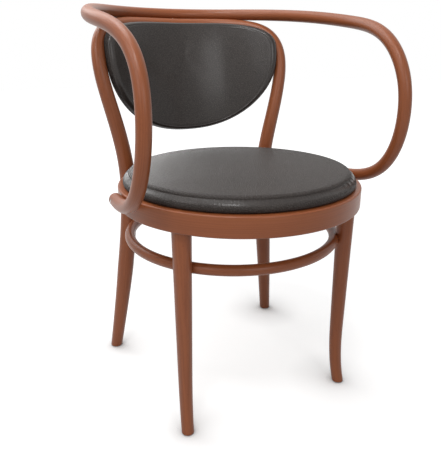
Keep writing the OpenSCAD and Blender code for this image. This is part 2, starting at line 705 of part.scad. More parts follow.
placed() seat_ring();
placed() seat_board();
placed() seat_foam();
placed() seat_cover();
placed() front_leg_left();
placed() front_leg_right();
placed() back_hoop();
placed() arm_rail();
placed() stretcher_ring();
placed() back_pad();
placed() back_core();
placed() back_cover();
placed() rear_leg_bolts();
placed() rear_leg_nuts();
placed() arm_screws();
placed() rail_screws();
placed() panel_screws();
placed() panel_spacers();
placed() seat_board_screws();
placed() stretcher_screws();
placed() tenon_screws();
placed() foot_glides();
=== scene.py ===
"""A bentwood armchair: bent beech rods, a round leather seat and a curved leather back.

Lengths are in metres and angles in degrees. Shapes are worked out in a frame with the seat's axis
at x = y = 0 and the floor at z = 0, with +Z up and the chair facing -Y. SEAT_AXIS moves them to
their place in the CAD frame.
"""

import logging
import math
from dataclasses import dataclass, replace
from enum import Enum
from typing import Any

import bpy
import numpy as np
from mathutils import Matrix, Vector


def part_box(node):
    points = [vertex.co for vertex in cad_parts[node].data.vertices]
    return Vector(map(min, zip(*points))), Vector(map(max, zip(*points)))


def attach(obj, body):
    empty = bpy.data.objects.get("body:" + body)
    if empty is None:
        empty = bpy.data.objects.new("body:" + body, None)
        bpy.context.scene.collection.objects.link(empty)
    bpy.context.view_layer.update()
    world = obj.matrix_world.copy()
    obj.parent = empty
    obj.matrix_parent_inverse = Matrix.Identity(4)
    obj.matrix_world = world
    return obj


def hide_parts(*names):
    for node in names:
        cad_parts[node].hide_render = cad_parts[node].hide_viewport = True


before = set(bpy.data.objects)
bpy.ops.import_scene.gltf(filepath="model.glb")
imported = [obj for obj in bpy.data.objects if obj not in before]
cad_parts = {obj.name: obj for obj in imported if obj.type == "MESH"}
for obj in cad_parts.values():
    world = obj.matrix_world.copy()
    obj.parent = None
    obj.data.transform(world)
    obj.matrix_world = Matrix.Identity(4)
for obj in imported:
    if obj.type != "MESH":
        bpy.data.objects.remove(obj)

Array = np.ndarray
Triple = tuple[float, float, float]
log = logging.getLogger("armchair")

RING_LOW, RING_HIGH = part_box("seat_ring")
SEAT_AXIS: Array = np.array([0.0, (RING_LOW.y + RING_HIGH.y) / 2, 0.0])
UP: Array = np.array([0.0, 0.0, 1.0])

# Room between pieces that lie on each other, and the height of the glides under the feet
GAP = 0.0003
FLOOR_GLIDE = 0.002

# How finely the bent rods are divided, and the angle past which a cut piece keeps a sharp edge
SPAN_STEPS = 40
ROD_SIDES = 48
END_RINGS = 9
SHARP_ANGLE = 40.0

# The cloth that the padded pieces are blown up with, on a coarse grid, and the passes that even it out
CLOTH_COLUMNS = 120
CLOTH_PRESSURE = 4.0
CLOTH_MASS = 0.2
CLOTH_QUALITY = 6
CLOTH_FRAMES = 20
RELAXING = 50

# Distance from a seam's middle at which the gathers beside it reach their full height, the height of
# their second sine and how many more waves it has than the first, the waves of the slow sines round the
# seam, and the share of gathers that is there without them and with each of them
SEAM_CLEAR = 0.0015
SECOND_HEIGHT = 0.7
SECOND_WAVES = 1.31
CALM_WAVES = (2, 3, 5, 9, 14, 23)
USUAL_SHARE = 0.55
CALM_SHARE = 0.22


class Side(Enum):
    """The chair's two sides, as the sign of their x."""

    LEFT = -1
    RIGHT = 1


# Curves and surfaces


def unit(v: Array) -> Array:
    """Vectors along the last axis, made one long."""
    return v / np.linalg.norm(v, axis=-1, keepdims=True)


def polar(radius: float, degrees: float, z: float = 0.0) -> Array:
    """A point at a distance and in a direction from the seat's axis."""
    a = math.radians(degrees)
    return np.array([radius * math.cos(a), radius * math.sin(a), z])


def around(count: int, closed: bool = False) -> Array:
    """Angles evenly round a circle, with the first one again at the end, a turn on, if closed."""
    return np.arange(count + closed) / count * 2 * math.pi


def bell(x: Array, middle: float, width: float) -> Array:
    """A bell-shaped curve, exp(-((x - middle) / width)^2)."""
    return np.exp(-(((x - middle) / width) ** 2))


def columns_of(*columns: Any) -> Array:
    """Columns side by side, each an array or one number for all its rows."""
    return np.stack(np.broadcast_arrays(*columns), -1)


def both_sides(half: Array) -> Array:
    """Points of a line that is the same on both sides, from its right half, which starts at x = 0."""
    return np.vstack([half[:0:-1] * [-1, 1, 1], half])


def curve(guides: Array) -> Array:
    """Points of a smooth line that guide points pull on.

    The line is a uniform cubic B-spline. A guide mirrored through each end makes it start and end on
    the outer guides.

    Args:
        guides: guide points, one a row.

    Returns:
        The line's points, one a row, SPAN_STEPS to a span.
    """
    spans = len(guides) - 1
    p = np.vstack([2 * guides[0] - guides[1], guides, 2 * guides[-1] - guides[-2]])
    t = np.arange(SPAN_STEPS) / SPAN_STEPS
    weights = np.stack([(1 - t) ** 3, 3 * t**3 - 6 * t**2 + 4, 3 * t + 3 * t**2 - 3 * t**3 + 1, t**3], 1) / 6
    pulls = np.stack([p[i : i + spans] for i in range(4)], 1)
    return np.vstack([np.einsum("tw,swc->stc", weights, pulls).reshape(-1, 3), guides[-1]])


def run_of(line: Array) -> Array:
    """Distance along a line at each of its points."""
    return np.concatenate([[0.0], np.cumsum(np.linalg.norm(np.diff(line, axis=0), axis=1))])


def along(line: Array, at: Array) -> Array:
    """The line's points at given distances along it."""
    run = run_of(line)
    return np.stack([np.interp(at, run, line[:, c]) for c in range(3)], 1)


def crossing(line: Array, axis: int, value: float) -> Array:
    """The point of a line's right half, from its middle on, where a coordinate first has a value.

    Args:
        line: points, one a row.
        axis: which coordinate.
        value: what it has to be.

    Returns:
        The point, straight between the two points of the line beside it.
    """
    half = line[len(line) // 2 :]
    start = half[0, axis]
    past = np.nonzero((half[:, axis] - value) * (start - value) <= 0)[0]
    i = max(int(past[0]), 1)
    a, b = half[i - 1], half[i]
    return a + (b - a) * (value - a[axis]) / (b[axis] - a[axis])


def surface(
    name: str, points: Array, stick: Array | None = None, ring: bool = False, polish: Array | None = None
) -> bpy.types.Object:
    """A closed, smooth mesh over a grid of points whose columns run round and close on themselves.

    Face (i, k) joins points (i, k), (i, k + 1), (i + 1, k + 1) and (i + 1, k).

    Args:
        name: the object's name.
        points: rows by columns by 3, in the seat's frame.
        stick: where each point lay in the straight stick before bending. It has one column more than
            points, and one row more on a ring, so that a pattern ends cleanly where the shape closes.
        ring: join the last row to the first one, instead of closing each end by a fan.
        polish: how far each row is polished by wear or by being stretched, from 0 to 1.

    Returns:
        The new object, with its place in its mesh.
    """
    rows, columns = points.shape[:2]
    i, k = np.meshgrid(np.arange(rows if ring else rows - 1), np.arange(columns), indexing="ij")
    i, k = i.ravel(), k.ravel()
    corner_i = np.stack([i, i, i + 1, i + 1], 1)
    corner_k = np.stack([k, k + 1, k + 1, k], 1)
    loops = [((corner_i % rows) * columns + corner_k % columns).ravel()]
    sizes = [np.full(len(i), 4)]
    vertices = [points.reshape(-1, 3)]
    stick_loops = [] if stick is None else [stick[corner_i, corner_k].reshape(-1, 3)]
    if not ring:
        k = np.arange(columns)
        for row, first, second in ((0, k + 1, k), (rows - 1, k, k + 1)):
            middle = np.full(columns, rows * columns + len(vertices) - 1)
            fan = [row * columns + first % columns, row * columns + second % columns, middle]
            loops.append(np.stack(fan, 1).ravel())
            sizes.append(np.full(columns, 3))
            vertices.append(points[row].mean(0, keepdims=True))
            if stick is not None:
                ends = np.stack([stick[row, first], stick[row, second], stick[row, k]], 1)
                ends[:, 2, 1:] = 0
                stick_loops.append(ends.reshape(-1, 3))
    corners = np.concatenate(loops)
    totals = np.concatenate(sizes)
    mesh = bpy.data.meshes.new(name)
    places = np.concatenate(vertices) + SEAT_AXIS
    mesh.vertices.add(len(places))
    mesh.vertices.foreach_set("co", places.ravel())
    mesh.loops.add(len(corners))
    mesh.loops.foreach_set("vertex_index", corners)
    mesh.polygons.add(len(totals))
    mesh.polygons.foreach_set("loop_start", np.concatenate([[0], np.cumsum(totals)[:-1]]))
    mesh.update(calc_edges=True)
    mesh.shade_smooth()
    if stick is not None:
        kept = mesh.attributes.new("stick", "FLOAT_VECTOR", "CORNER")
        kept.data.foreach_set("vector", np.concatenate(stick_loops).ravel())
    if polish is not None:
        kept = mesh.attributes.new("polish", "FLOAT", "POINT")
        kept.data.foreach_set("value", np.concatenate([np.repeat(polish, columns), [polish[0], polish[-1]]]))
    piece = bpy.data.objects.new(name, mesh)
    bpy.context.scene.collection.objects.link(piece)
    return piece


def turned(profile: Array, place: Array, direction: Array, sides: int) -> Array:
    """Grid of a profile turned about an axis.

    Point (i, k) is place + height_i * d + radius_i * (cos a_k * u + sin a_k * v), where u, v and d are
    square to each other.

    Args:
        profile: rows of (radius, height).
        place: where the axis starts.
        direction: the axis's direction d.
        sides: how many columns go round.

    Returns:
        Points, profile rows by sides by 3.
    """
    d = unit(direction)
    mostly_y = abs(d[1]) >= 0.9
    u = unit(np.cross([1.0, 0.0, 0.0] if mostly_y else [0.0, 1.0, 0.0], d))
    v = np.cross(d, u)
    a = around(sides)
    out = np.cos(a)[:, None] * u + np.sin(a)[:, None] * v
    return place + profile[:, 1, None, None] * d + profile[:, 0, None, None] * out


def swept(line: Array, radii: Array, level_ends: bool = False) -> tuple[Array, Array]:
    """A round rod carried along a line, and the straight stick it was bent from.

    Point (i, k) is line_i + radius_i * (cos a_k * s_i + sin a_k * t_i x s_i), with t the line's heading
    and s the direction away from the seat's axis, made square to t.

    Args:
        line: centre points, one a row.
        radii: the rod's radius at each of them.
        level_ends: make the first and the last ring level, for feet and legs.

    Returns:
        The grid of points, with ROD_SIDES columns, and the grid of stick places.
    """
    heading = unit(np.gradient(line, axis=0))
    if level_ends:
        ends = [0, -1]
        heading[ends] = np.sign(heading[ends, 2:]) * UP
    outward = line * [1, 1, 0]
    side = unit(outward - np.sum(outward * heading, 1, keepdims=True) * heading)
    other = np.cross(heading, side)
    a = around(ROD_SIDES, closed=True)
    c, s = np.cos(a)[None, :, None], np.sin(a)[None, :, None]
    points = line[:, None] + radii[:, None, None] * (c * side[:, None] + s * other[:, None])
    run = np.broadcast_to(run_of(line)[:, None, None], (len(line), ROD_SIDES + 1, 1))
    stick = np.concatenate([run, radii[:, None, None] * c, radii[:, None, None] * s], 2)
    return points[:, :-1], stick


def stations(length: float, spacing: float, rounding: float) -> tuple[Array, Array]:
    """Distances along a rod for its rings, and how much thinner it is there for round ends.

    A round end of radius d is a quarter circle: a ring at u from the end is d - sqrt(d^2 - (d - u)^2)
    thinner than the rod.

    Args:
        length: the rod's length.
        spacing: distance between rings.
        rounding: radius of the round ends.

    Returns:
        The distances and the thinning at each.
    """
    middle = np.linspace(rounding, length - rounding, int(length / spacing))
    turn_in = rounding * (1 - np.cos(np.linspace(0, math.pi / 2, END_RINGS + 1)[:-1]))
    turn_thin = rounding - np.sqrt(rounding**2 - (rounding - turn_in) ** 2)
    at = np.concatenate([turn_in, middle, length - turn_in[::-1]])
    return at, np.concatenate([turn_thin, np.zeros_like(middle), turn_thin[::-1]])


@dataclass(frozen=True)
class Hole:
    """A screw's hole, from the place of the underside of its head."""

    place: Array
    direction: Array
    length: float
    radius: float
    head_share: float = 2.0
    clearance: float = 0.0002
    mouth: float = 0.009
    sides: int = 40

    def cutter(self) -> bpy.types.Object:
        """The hole's shape with its counterbore: a stepped profile turned about the screw's axis.

        Returns:
            A closed object, for carve() to use up.
        """
        wide = self.head_share * self.radius + self.clearance
        slim = self.radius + self.clearance
        end = self.length + self.clearance
        profile = np.array([[wide, -self.mouth], [wide, 0.0], [slim, 0.0], [slim, end]])
        return surface("hole", turned(profile, self.place, self.direction, self.sides))

    def pair(self) -> list["Hole"]:
        """This hole and the same one on the chair's other side."""
        flip = np.array([-1.0, 1.0, 1.0])
        return [self, replace(self, place=self.place * flip, direction=self.direction * flip)]


def carve(piece: bpy.types.Object, holes: list[Hole], *shapes: bpy.types.Object) -> None:
    """Cuts screw holes and other shapes out of a piece.

    Args:
        piece: the object that is cut. Its mesh is replaced.
        holes: the screw holes.
        shapes: closed objects, deleted afterwards.
    """
    cutters = [*shapes, *(hole.cutter() for hole in holes)]
    bench = bpy.data.collections.new("bench")
    bpy.context.scene.collection.children.link(bench)
    for cutter in cutters:
        bpy.context.scene.collection.objects.unlink(cutter)
        bench.objects.link(cutter)
    cut = piece.modifiers.new("cut", "BOOLEAN")
    cut.operand_type, cut.collection = "COLLECTION", bench
    cut.operation, cut.solver = "DIFFERENCE", "MANIFOLD"
    graph = bpy.context.evaluated_depsgraph_get()
    whole = piece.evaluated_get(graph)
    made = bpy.data.meshes.new_from_object(whole, preserve_all_data_layers=True, depsgraph=graph)
    piece.modifiers.clear()
    plain, piece.data = piece.data, made
    made.name = piece.name
    made.materials.clear()
    made.set_sharp_from_angle(angle=math.radians(SHARP_ANGLE))
    bpy.data.meshes.remove(plain)
    for cutter in cutters:
        bpy.data.meshes.remove(cutter.data)
    bpy.data.collections.remove(bench)


def settle(piece: bpy.types.Object, finish: bpy.types.Material, slot: str, *nodes: str) -> None:
    """Dresses a piece, fixes it to the chair and lets it stand for CAD nodes.

    Args:
        piece: the new object.
        finish: its material.
        slot: the record's material slot; not used.
        nodes: the CAD nodes that it stands for.
    """
    piece.data.materials.append(finish)
    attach(piece, "root")
    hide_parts(*nodes)
    log.info("%s: %d faces, stands for %s", piece.name, len(piece.data.polygons), ", ".join(nodes))


# Shader maths


class Signal:
    """A node's output that arithmetic signs work with. Each operation adds a Math node."""

    def __init__(self, tree: "Nodes", socket: bpy.types.NodeSocket) -> None:
        """Wraps an output socket of a tree."""
        self.tree = tree
        self.socket = socket

    def math(self, operation: str, *others: Any) -> "Signal":
        """A Math node of this signal and other values."""
        inputs = dict(enumerate((self, *others)))
        return self.tree.node("ShaderNodeMath", {"operation": operation}, inputs)[0]

    def __add__(self, other: Any) -> "Signal":
        """Sum."""
        return self.math("ADD", other)

    __radd__ = __add__

    def __mul__(self, other: Any) -> "Signal":
        """Product."""
        return self.math("MULTIPLY", other)

    __rmul__ = __mul__

    def __sub__(self, other: Any) -> "Signal":
        """Difference."""
        return self.math("SUBTRACT", other)

    def __rsub__(self, other: float) -> "Signal":
        """Difference from a number."""
        return self.tree.node("ShaderNodeMath", {"operation": "SUBTRACT"}, {0: other, 1: self})[0]

    def band(self, low: float, high: float) -> "Signal":
        """0 below low, 1 above high and a smooth step between.

        Args:
            low: where the step starts.
            high: where it ends.

        Returns:
            The stepped signal.
        """
        settings = {"interpolation_type": "SMOOTHSTEP"}
        values = {"Value": self, "From Min": low, "From Max": high}
        return self.tree.node("ShaderNodeMapRange", settings, values)[0]


class Nodes:
    """A node tree and the kinds of nodes that finishes are made of."""

    def __init__(self, tree: bpy.types.NodeTree) -> None:
        """Wraps a node tree."""
        self.tree = tree

    def node(self, kind: str, settings: dict[str, Any], inputs: dict[Any, Any]) -> list[Signal]:
        """Adds a node.

        Args:
            kind: the node's type.
            settings: its properties, set first.
            inputs: values or signals by socket name or number.

        Returns:
            Its outputs.
        """
        made = self.tree.nodes.new(kind)
        for name, value in settings.items():
            setattr(made, name, value)
        for name, value in inputs.items():
            self.feed(made.inputs[name], value)
        return [Signal(self, out) for out in made.outputs if out.enabled]

    def feed(self, socket: bpy.types.NodeSocket, value: Any) -> None:
        """Links a signal to a socket, or sets the socket's value.

        Args:
            socket: an input.
            value: the signal or the value.
        """
        if isinstance(value, Signal):
            self.tree.links.new(value.socket, socket)
        else:
            socket.default_value = value

    def object_place(self) -> Signal:
        """Object coordinates."""
        return self.node("ShaderNodeTexCoord", {}, {})[3]

    def attribute(self, name: str) -> list[Signal]:
        """A mesh attribute as a colour, a vector and a number."""
        return self.node("ShaderNodeAttribute", {"attribute_name": name}, {})

    def parts(self, vector: Signal) -> list[Signal]:
        """The three parts of a vector."""
        return self.node("ShaderNodeSeparateXYZ", {}, {0: vector})

    def noise(
        self, vector: Signal, scale: float, detail: float = 2.0, roughness: float = 0.5
    ) -> list[Signal]:
        """Smooth noise, as a number from 0 to 1 and as a colour."""
        values = {"Vector": vector, "Scale": scale, "Detail": detail, "Roughness": roughness}
        return self.node("ShaderNodeTexNoise", {}, values)

    def grain(self, vector: Signal, run: float, side: float, detail: float, roughness: float = 0.5) -> Signal:
        """Noise from 0 to 1, drawn out along the first axis.

        Args:
            vector: where the pattern is read.
            run: the noise's scale along the first axis.
            side: its scale along the other two.
            detail: how many finer layers it has.
            roughness: how strong they are.

        Returns:
            The noise.
        """
        factors = {0: vector, 1: (run, side, side)}
        drawn = self.node("ShaderNodeVectorMath", {"operation": "MULTIPLY"}, factors)[0]
        return self.noise(drawn, 1.0, detail, roughness)[0]

    def mixed(self, factor: Signal, low: Signal | Triple, high: Signal | Triple) -> Signal:
        """A colour between two, by a factor."""
        a, b = (end if isinstance(end, Signal) else (*end, 1.0) for end in (low, high))
        return self.node("ShaderNodeMix", {"data_type": "RGBA"}, {0: factor, 6: a, 7: b})[0]


class Shader(Nodes):
    """A material's nodes and its Principled shader."""

    def __init__(self, name: str, **constants: Any) -> None:
        """Makes a material.

        Args:
            name: the material's name.
            constants: values of the shader's sockets, with _ for spaces in their names.
        """
        self.material = bpy.data.materials.new(name)
        self.material.use_nodes = True
        super().__init__(self.material.node_tree)
        self.surface = self.tree.nodes["Principled BSDF"]
        for socket, value in constants.items():
            self.surface.inputs[socket.replace("_", " ")].default_value = value

    def drive(self, socket: str, value: Signal) -> None:
        """Links a signal to one of the Principled shader's sockets."""
        self.feed(self.surface.inputs[socket], value)

    def bump(self, height: Signal, distance: float) -> None:
        """Feeds a Bump node with a height from 0 to 1, drawn to a real distance, to the shader."""
        self.drive("Normal", self.node("ShaderNodeBump", {}, {"Height": height, "Distance": distance})[0])


# Finishes


@dataclass(frozen=True)
class StainedBeech:
    """Red-brown stained beech under a satin lacquer, its grain along the stick.

    A pattern of the grain is given by its scale along the stick, its scale across it and its detail.
    """

    name: str = "stained_beech"
    dark: Triple = (0.24, 0.068, 0.0235)
    light: Triple = (0.31, 0.092, 0.032)
    fleck: Triple = (0.14, 0.04, 0.015)
    ring_width: float = 0.0022
    ring_sway: float = 0.004
    pith: tuple[float, float] = (0.031, -0.022)
    sway: Triple = (5.0, 40.0, 3.0)
    tone: tuple[float, ...] = (2.2, 55.0, 4.0, 0.6)
    streak: Triple = (9.0, 420.0, 2.0)
    pore: Triple = (190.0, 1700.0, 1.0)
    tone_share: float = 0.5
    ring_share: float = 0.14
    streak_share: float = 0.36
    tone_edge: tuple[float, float] = (0.25, 0.75)
    pore_edge: tuple[float, float] = (0.62, 0.72)
    pore_stain: float = 0.35
    least_roughness: float = 0.32
    grain_roughness: float = 0.1
    coat: float = 0.06
    coat_roughness: float = 0.25
    specular: float = 0.3
    relief: float = 0.00006
    pore_relief: float = 0.6
    streak_relief: float = 0.4

    def build(self) -> bpy.types.Material:
        """Growth rings about a pith beside the stick, slow tone along it, and short dark flecks.

        Returns:
            The material.
        """
        gloss = {"Coat_Roughness": self.coat_roughness, "Specular_IOR_Level": self.specular}
        s = Shader(self.name, Coat_Weight=self.coat, **gloss)
        stick = s.attribute("stick")[1]
        _, a, b = s.parts(stick)
        sway = s.grain(stick, *self.sway)
        across = ((a + self.pith[0]).math("POWER", 2.0) + (b + self.pith[1]).math("POWER", 2.0)).math("SQRT")
        waves = (across + sway * self.ring_sway) * (2 * math.pi / self.ring_width)
        rings = waves.math("SINE") * 0.5 + 0.5
        tone = s.grain(stick, *self.tone)
        streaks = s.grain(stick, *self.streak)
        blend = tone * self.tone_share + rings * self.ring_share + streaks * self.streak_share
        wood = s.mixed(blend.band(*self.tone_edge), self.dark, self.light)
        pores = s.grain(stick, *self.pore).band(*self.pore_edge)
        s.drive("Base Color", s.mixed(pores * self.pore_stain, wood, self.fleck))
        rough = streaks * self.grain_roughness + pores * self.grain_roughness
        s.drive("Roughness", rough + self.least_roughness)
        s.bump((1 - pores) * self.pore_relief + streaks * self.streak_relief, self.relief)
        return s.material


@dataclass(frozen=True)
class Leather:
    """Dark grey leather with a fine pebbled grain, smoother where it is polished.

    Creases and patches are given by their scale and detail, and creases by their roughness too.
    """

    name: str = "grey_leather"
    deep: Triple = (0.018, 0.0144, 0.0128)
    face: Triple = (0.047, 0.038, 0.0337)
    pebble: float = 0.0036
    pebble_edge: float = 0.28
    pull: float = 0.0012
    pull_scale: float = 260.0
    creases: Triple = (130.0, 4.0, 0.6)
    patches: tuple[float, float] = (14.0, 3.0)
    pebble_shade_share: float = 0.55
    patch_share: float = 0.45
    roughness: float = 0.52
    patch_roughness: float = 0.08
    pebble_gloss: float = 0.06
    polished: float = 0.22
    coat: float = 0.42
    coat_roughness: float = 0.22
    specular: float = 0.2
    relief: float = 0.0009
    pebble_relief: float = 0.6
    crease_relief: float = 0.4

    def build(self) -> bpy.types.Material:
        """Pebbles from cells that a little noise pulls out of line, the valleys between them painted darker
        as shade, on slow patches of the leather's own tone.

        Returns:
            The material.
        """
        s = Shader(self.name, Coat_Roughness=self.coat_roughness, Specular_IOR_Level=self.specular)
        place = s.object_place()
        shift = {0: s.noise(place, self.pull_scale)[1], 1: (self.pull,) * 3, 2: place}
        bent = s.node("ShaderNodeVectorMath", {"operation": "MULTIPLY_ADD"}, shift)[0]
        cell = {"Vector": bent, "Scale": 1 / self.pebble}
        inside = s.node("ShaderNodeTexVoronoi", {"feature": "DISTANCE_TO_EDGE"}, cell)[0]
        pebbles = inside.band(0.0, self.pebble_edge)
        creases = s.noise(place, *self.creases)[0]
        patches = s.noise(place, *self.patches)[0]
        # Base colour is dark at the pebbles' edges, which is painted shade in the grain's valleys, and the
        # patches are the leather's own tone
        tone = pebbles * self.pebble_shade_share + patches * self.patch_share
        s.drive("Base Color", s.mixed(tone, self.deep, self.face))
        polish = s.attribute("polish")[2]
        rough = patches * self.patch_roughness - pebbles * self.pebble_gloss
        s.drive("Roughness", rough - polish * self.polished + self.roughness)
        s.drive("Coat Weight", polish * self.coat)
        grain = pebbles * self.pebble_relief + creases * self.crease_relief
        s.bump(grain * (1 - polish), self.relief)
        return s.material


@dataclass(frozen=True)
class Plywood:
    """Bare plywood: long grain on its faces and thin layers on its edge."""

    name: str = "bare_plywood"
    dark: Triple = (0.42, 0.26, 0.13)
    light: Triple = (0.62, 0.44, 0.25)
    layer: float = 0.0015
    grain: Triple = (12.0, 260.0, 3.0)
    grain_share: float = 0.7
    layer_share: float = 0.3
    least_roughness: float = 0.52
    grain_roughness: float = 0.15
    relief: float = 0.00005

    def build(self) -> bpy.types.Material:
        """Layers by height, crossed with grain that runs along the board.

        Returns:
            The material.
        """
        s = Shader(self.name)
        place = s.object_place()
        layers = (s.parts(place)[2] * (math.pi / self.layer)).math("SINE") * 0.5 + 0.5
        grain = s.grain(place, *self.grain)
        tone = grain * self.grain_share + layers * self.layer_share
        s.drive("Base Color", s.mixed(tone, self.dark, self.light))
        s.drive("Roughness", grain * self.grain_roughness + self.least_roughness)
        s.bump(grain, self.relief)
        return s.material


@dataclass(frozen=True)
class PlatedSteel:
    """Zinc-plated steel with faint turning marks."""

    name: str = "plated_steel"
    dark: Triple = (0.42, 0.42, 0.41)
    light: Triple = (0.6, 0.6, 0.58)
    cloud: tuple[float, float] = (420.0, 3.0)
    scratch: Triple = (400.0, 2600.0, 2.0)
    least_roughness: float = 0.28
    scratch_roughness: float = 0.2
    relief: float = 0.00002

    def build(self) -> bpy.types.Material:
        """Cloudy plating over fine scratches.

        Returns:
            The material.
        """
        s = Shader(self.name, Metallic=1.0)
        place = s.object_place()
        scratch = s.grain(place, *self.scratch)
        s.drive("Base Color", s.mixed(s.noise(place, *self.cloud)[0], self.dark, self.light))
        s.drive("Roughness", scratch * self.scratch_roughness + self.least_roughness)
        s.bump(scratch, self.relief)
        return s.material


@dataclass(frozen=True)
class Nylon:
    """Matt dark nylon, as moulded."""

    name: str = "matt_nylon"
    dark: Triple = (0.028, 0.025, 0.024)
    light: Triple = (0.05, 0.045, 0.042)
    spark_scale: float = 2200.0
    least_roughness: float = 0.5
    spark_roughness: float = 0.2
    relief: float = 0.00003

    def build(self) -> bpy.types.Material:
        """A fine spark-eroded texture.

        Returns:
            The material.
        """
        s = Shader(self.name)
        spark = s.noise(s.object_place(), self.spark_scale)[0]
        s.drive("Base Color", s.mixed(spark, self.dark, self.light))
        s.drive("Roughness", spark * self.spark_roughness + self.least_roughness)
        s.bump(spark, self.relief)
        return s.material


# The wooden frame


@dataclass
class StretcherRing:
    """The round rod that ties the legs, touching each from inside."""

    centre_y: float = 0.02852
    height: float = 0.325
    bend_radius: float = 0.20836
    radius: float = 0.0101
    sides: int = 40
    turns: int = 300
    screw_radius: float = 0.002
    screw_length_share: float = 3.5

    @property
    def centre(self) -> Array:
        """The ring's middle."""
        return np.array([0.0, self.centre_y, self.height])

    def tube(self, name: str, radius: float) -> bpy.types.Object:
        """The ring as a round tube: a circle turned about the ring's axis.

        Args:
            name: the object's name.
            radius: the tube's radius.

        Returns:
            The new object.
        """
        a = around(self.sides, closed=True)
        x, z = radius * np.cos(a), radius * np.sin(a)
        points = turned(columns_of(self.bend_radius + x, z)[:-1], self.centre, UP, self.turns)
        run = around(self.turns, closed=True) * self.bend_radius
        return surface(name, points, columns_of(run[None, :], x[:, None], z[:, None]), ring=True)

    def cope(self) -> bpy.types.Object:
        """The hollow that the ring needs in a leg."""
        return self.tube("cope", self.radius + GAP)

    def holes(self, legs: list[Array]) -> list[Hole]:
        """Screw holes from the ring's inside into the legs.

        Args:
            legs: points on the right legs' centre lines.

        Returns:
            The holes of both sides, leg by leg.
        """
        made = []
        start = self.bend_radius - self.radius + self.screw_radius
        length = self.screw_length_share * self.radius
        for leg in legs:
            out = unit(np.array([leg[0], leg[1] - self.centre_y, 0.0]))
            made += Hole(self.centre + start * out, out, length, self.screw_radius).pair()
        return made

    def build(self, finish: bpy.types.Material, holes: list[Hole]) -> None:
        """Makes the ring with its counterbored screw holes.

        Args:
            finish: the wood.
            holes: its screw holes.
        """
        ring = self.tube("stretcher_ring_wood", self.radius)
        carve(ring, holes)
        settle(ring, finish, "beech", "stretcher_ring")


@dataclass
class SeatRing:
    """The flat bent ring that the cushion and the legs are fixed to."""

    radius: float = (RING_HIGH.x - RING_LOW.x) / 2
    bottom: float = RING_LOW.z
    top: float = RING_HIGH.z
    wall: float = 0.042
    edge: float = 0.0028
    inner_edge: float = 0.0008
    step_width: float = 0.014
    step_depth: float = 0.009
    corner_points: int = 7
    turns: int = 480

    @property
    def middle(self) -> float:
        """Height of the ring's middle."""
        return (self.bottom + self.top) / 2

    def profile(self) -> Array:
        """The ring's section, its corners turned in small arcs.

        Returns:
            Rows of (radius, height), from the inner corner underneath round to the step for the board.
        """
        inner = self.radius - self.wall
        step = inner + self.step_width
        shelf = self.top - self.step_depth
        turn = np.radians(np.linspace(0, 90, self.corner_points))
        corners = [
            (inner, self.bottom, 180, self.inner_edge),
            (self.radius, self.bottom, 270, self.edge),
            (self.radius, self.top, 0, self.edge),
            (step, self.top, 90, self.inner_edge),
        ]
        arcs = []
        for r, z, start, size in corners:
            inward = -size if start in (270, 0) else size
            upward = size if start in (180, 270) else -size
            a = np.radians(start) + turn
            arcs.append(columns_of(r + inward + size * np.cos(a), z + upward + size * np.sin(a)))
        arcs.append(np.array([[step, shelf], [inner, shelf]]))
        return np.concatenate(arcs)

    def build(self, finish: bpy.types.Material, holes: list[Hole]) -> None:
        """Makes the ring: its section turned about the seat's axis, the stick's length round it.

        Args:
            finish: the wood.
            holes: its screw holes.
        """
        profile = self.profile()
        closed = np.vstack([profile, profile[:1]])
        run = around(self.turns, closed=True) * self.radius
        stick = columns_of(run[None, :], closed[:, :1] - self.radius, closed[:, 1:] - self.middle)
        ring = surface("seat_ring_wood", turned(profile, np.zeros(3), UP, self.turns), stick, ring=True)
        carve(ring, holes)
        settle(ring, finish, "beech", "seat_ring")


@dataclass
class FrontLegs:
    """Straight tapered legs under the ring's front, their feet turned a little out."""

    ring: SeatRing
    angle: float = 34.6
    inset: float = 0.0235
    top_radius: float = 0.0172
    foot_radius: float = 0.0116
    turn: float = 0.0145
    turn_out: float = 0.0035
    turn_height: float = 0.15
    screw_radius: float = 0.002
    rows: int = 90
    stick_offset: Triple = (0.4, 0.01, 0.0)

    def centre(self, z: Array) -> Array:
        """Centre points of the right leg: straight down, with a cubic turn forward and out near the floor.

        Args:
            z: their heights.

        Returns:
            The points, along one axis more than z has.
        """
        at = polar(self.ring.radius - self.inset, -self.angle)
        turn = np.maximum(0, 1 - z / self.turn_height) ** 3
        return columns_of(at[0] + self.turn_out * turn, at[1] - self.turn * turn, z)

    def radius(self, z: Array) -> Array:
        """The leg's radius, growing evenly from the foot to the ring."""
        return self.foot_radius + (self.top_radius - self.foot_radius) * z / self.ring.bottom

    def tenon_hole(self) -> Hole:
        """The screw through the ring into the right leg's tenon.

        Returns:
            The hole.
        """
        start = self.ring.radius - self.ring.wall + self.screw_radius
        place = polar(start, -self.angle, self.ring.middle)
        return Hole(place, polar(1, -self.angle), self.inset, self.screw_radius)

    def build(self, finish: bpy.types.Material, stretcher: StretcherRing, holes: list[Hole]) -> None:
        """Makes both legs, coped over the stretcher ring.

        Args:
            finish: the wood.
            stretcher: the ring that they touch.
            holes: the screw holes of both.
        """
        z = np.linspace(self.ring.bottom, FLOOR_GLIDE, self.rows)
        for side in Side:
            name = f"front_leg_{side.name.lower()}"
            flip = np.array([side.value, 1, 1])
            points, stick = swept(self.centre(z) * flip, self.radius(z), level_ends=True)
            leg = surface(f"{name}_wood", points, stick + np.array(self.stick_offset) * side.value)
            own = [hole for hole in holes if hole.place[0] * side.value > 0]
            carve(leg, own, stretcher.cope())
            settle(leg, finish, "beech", name)


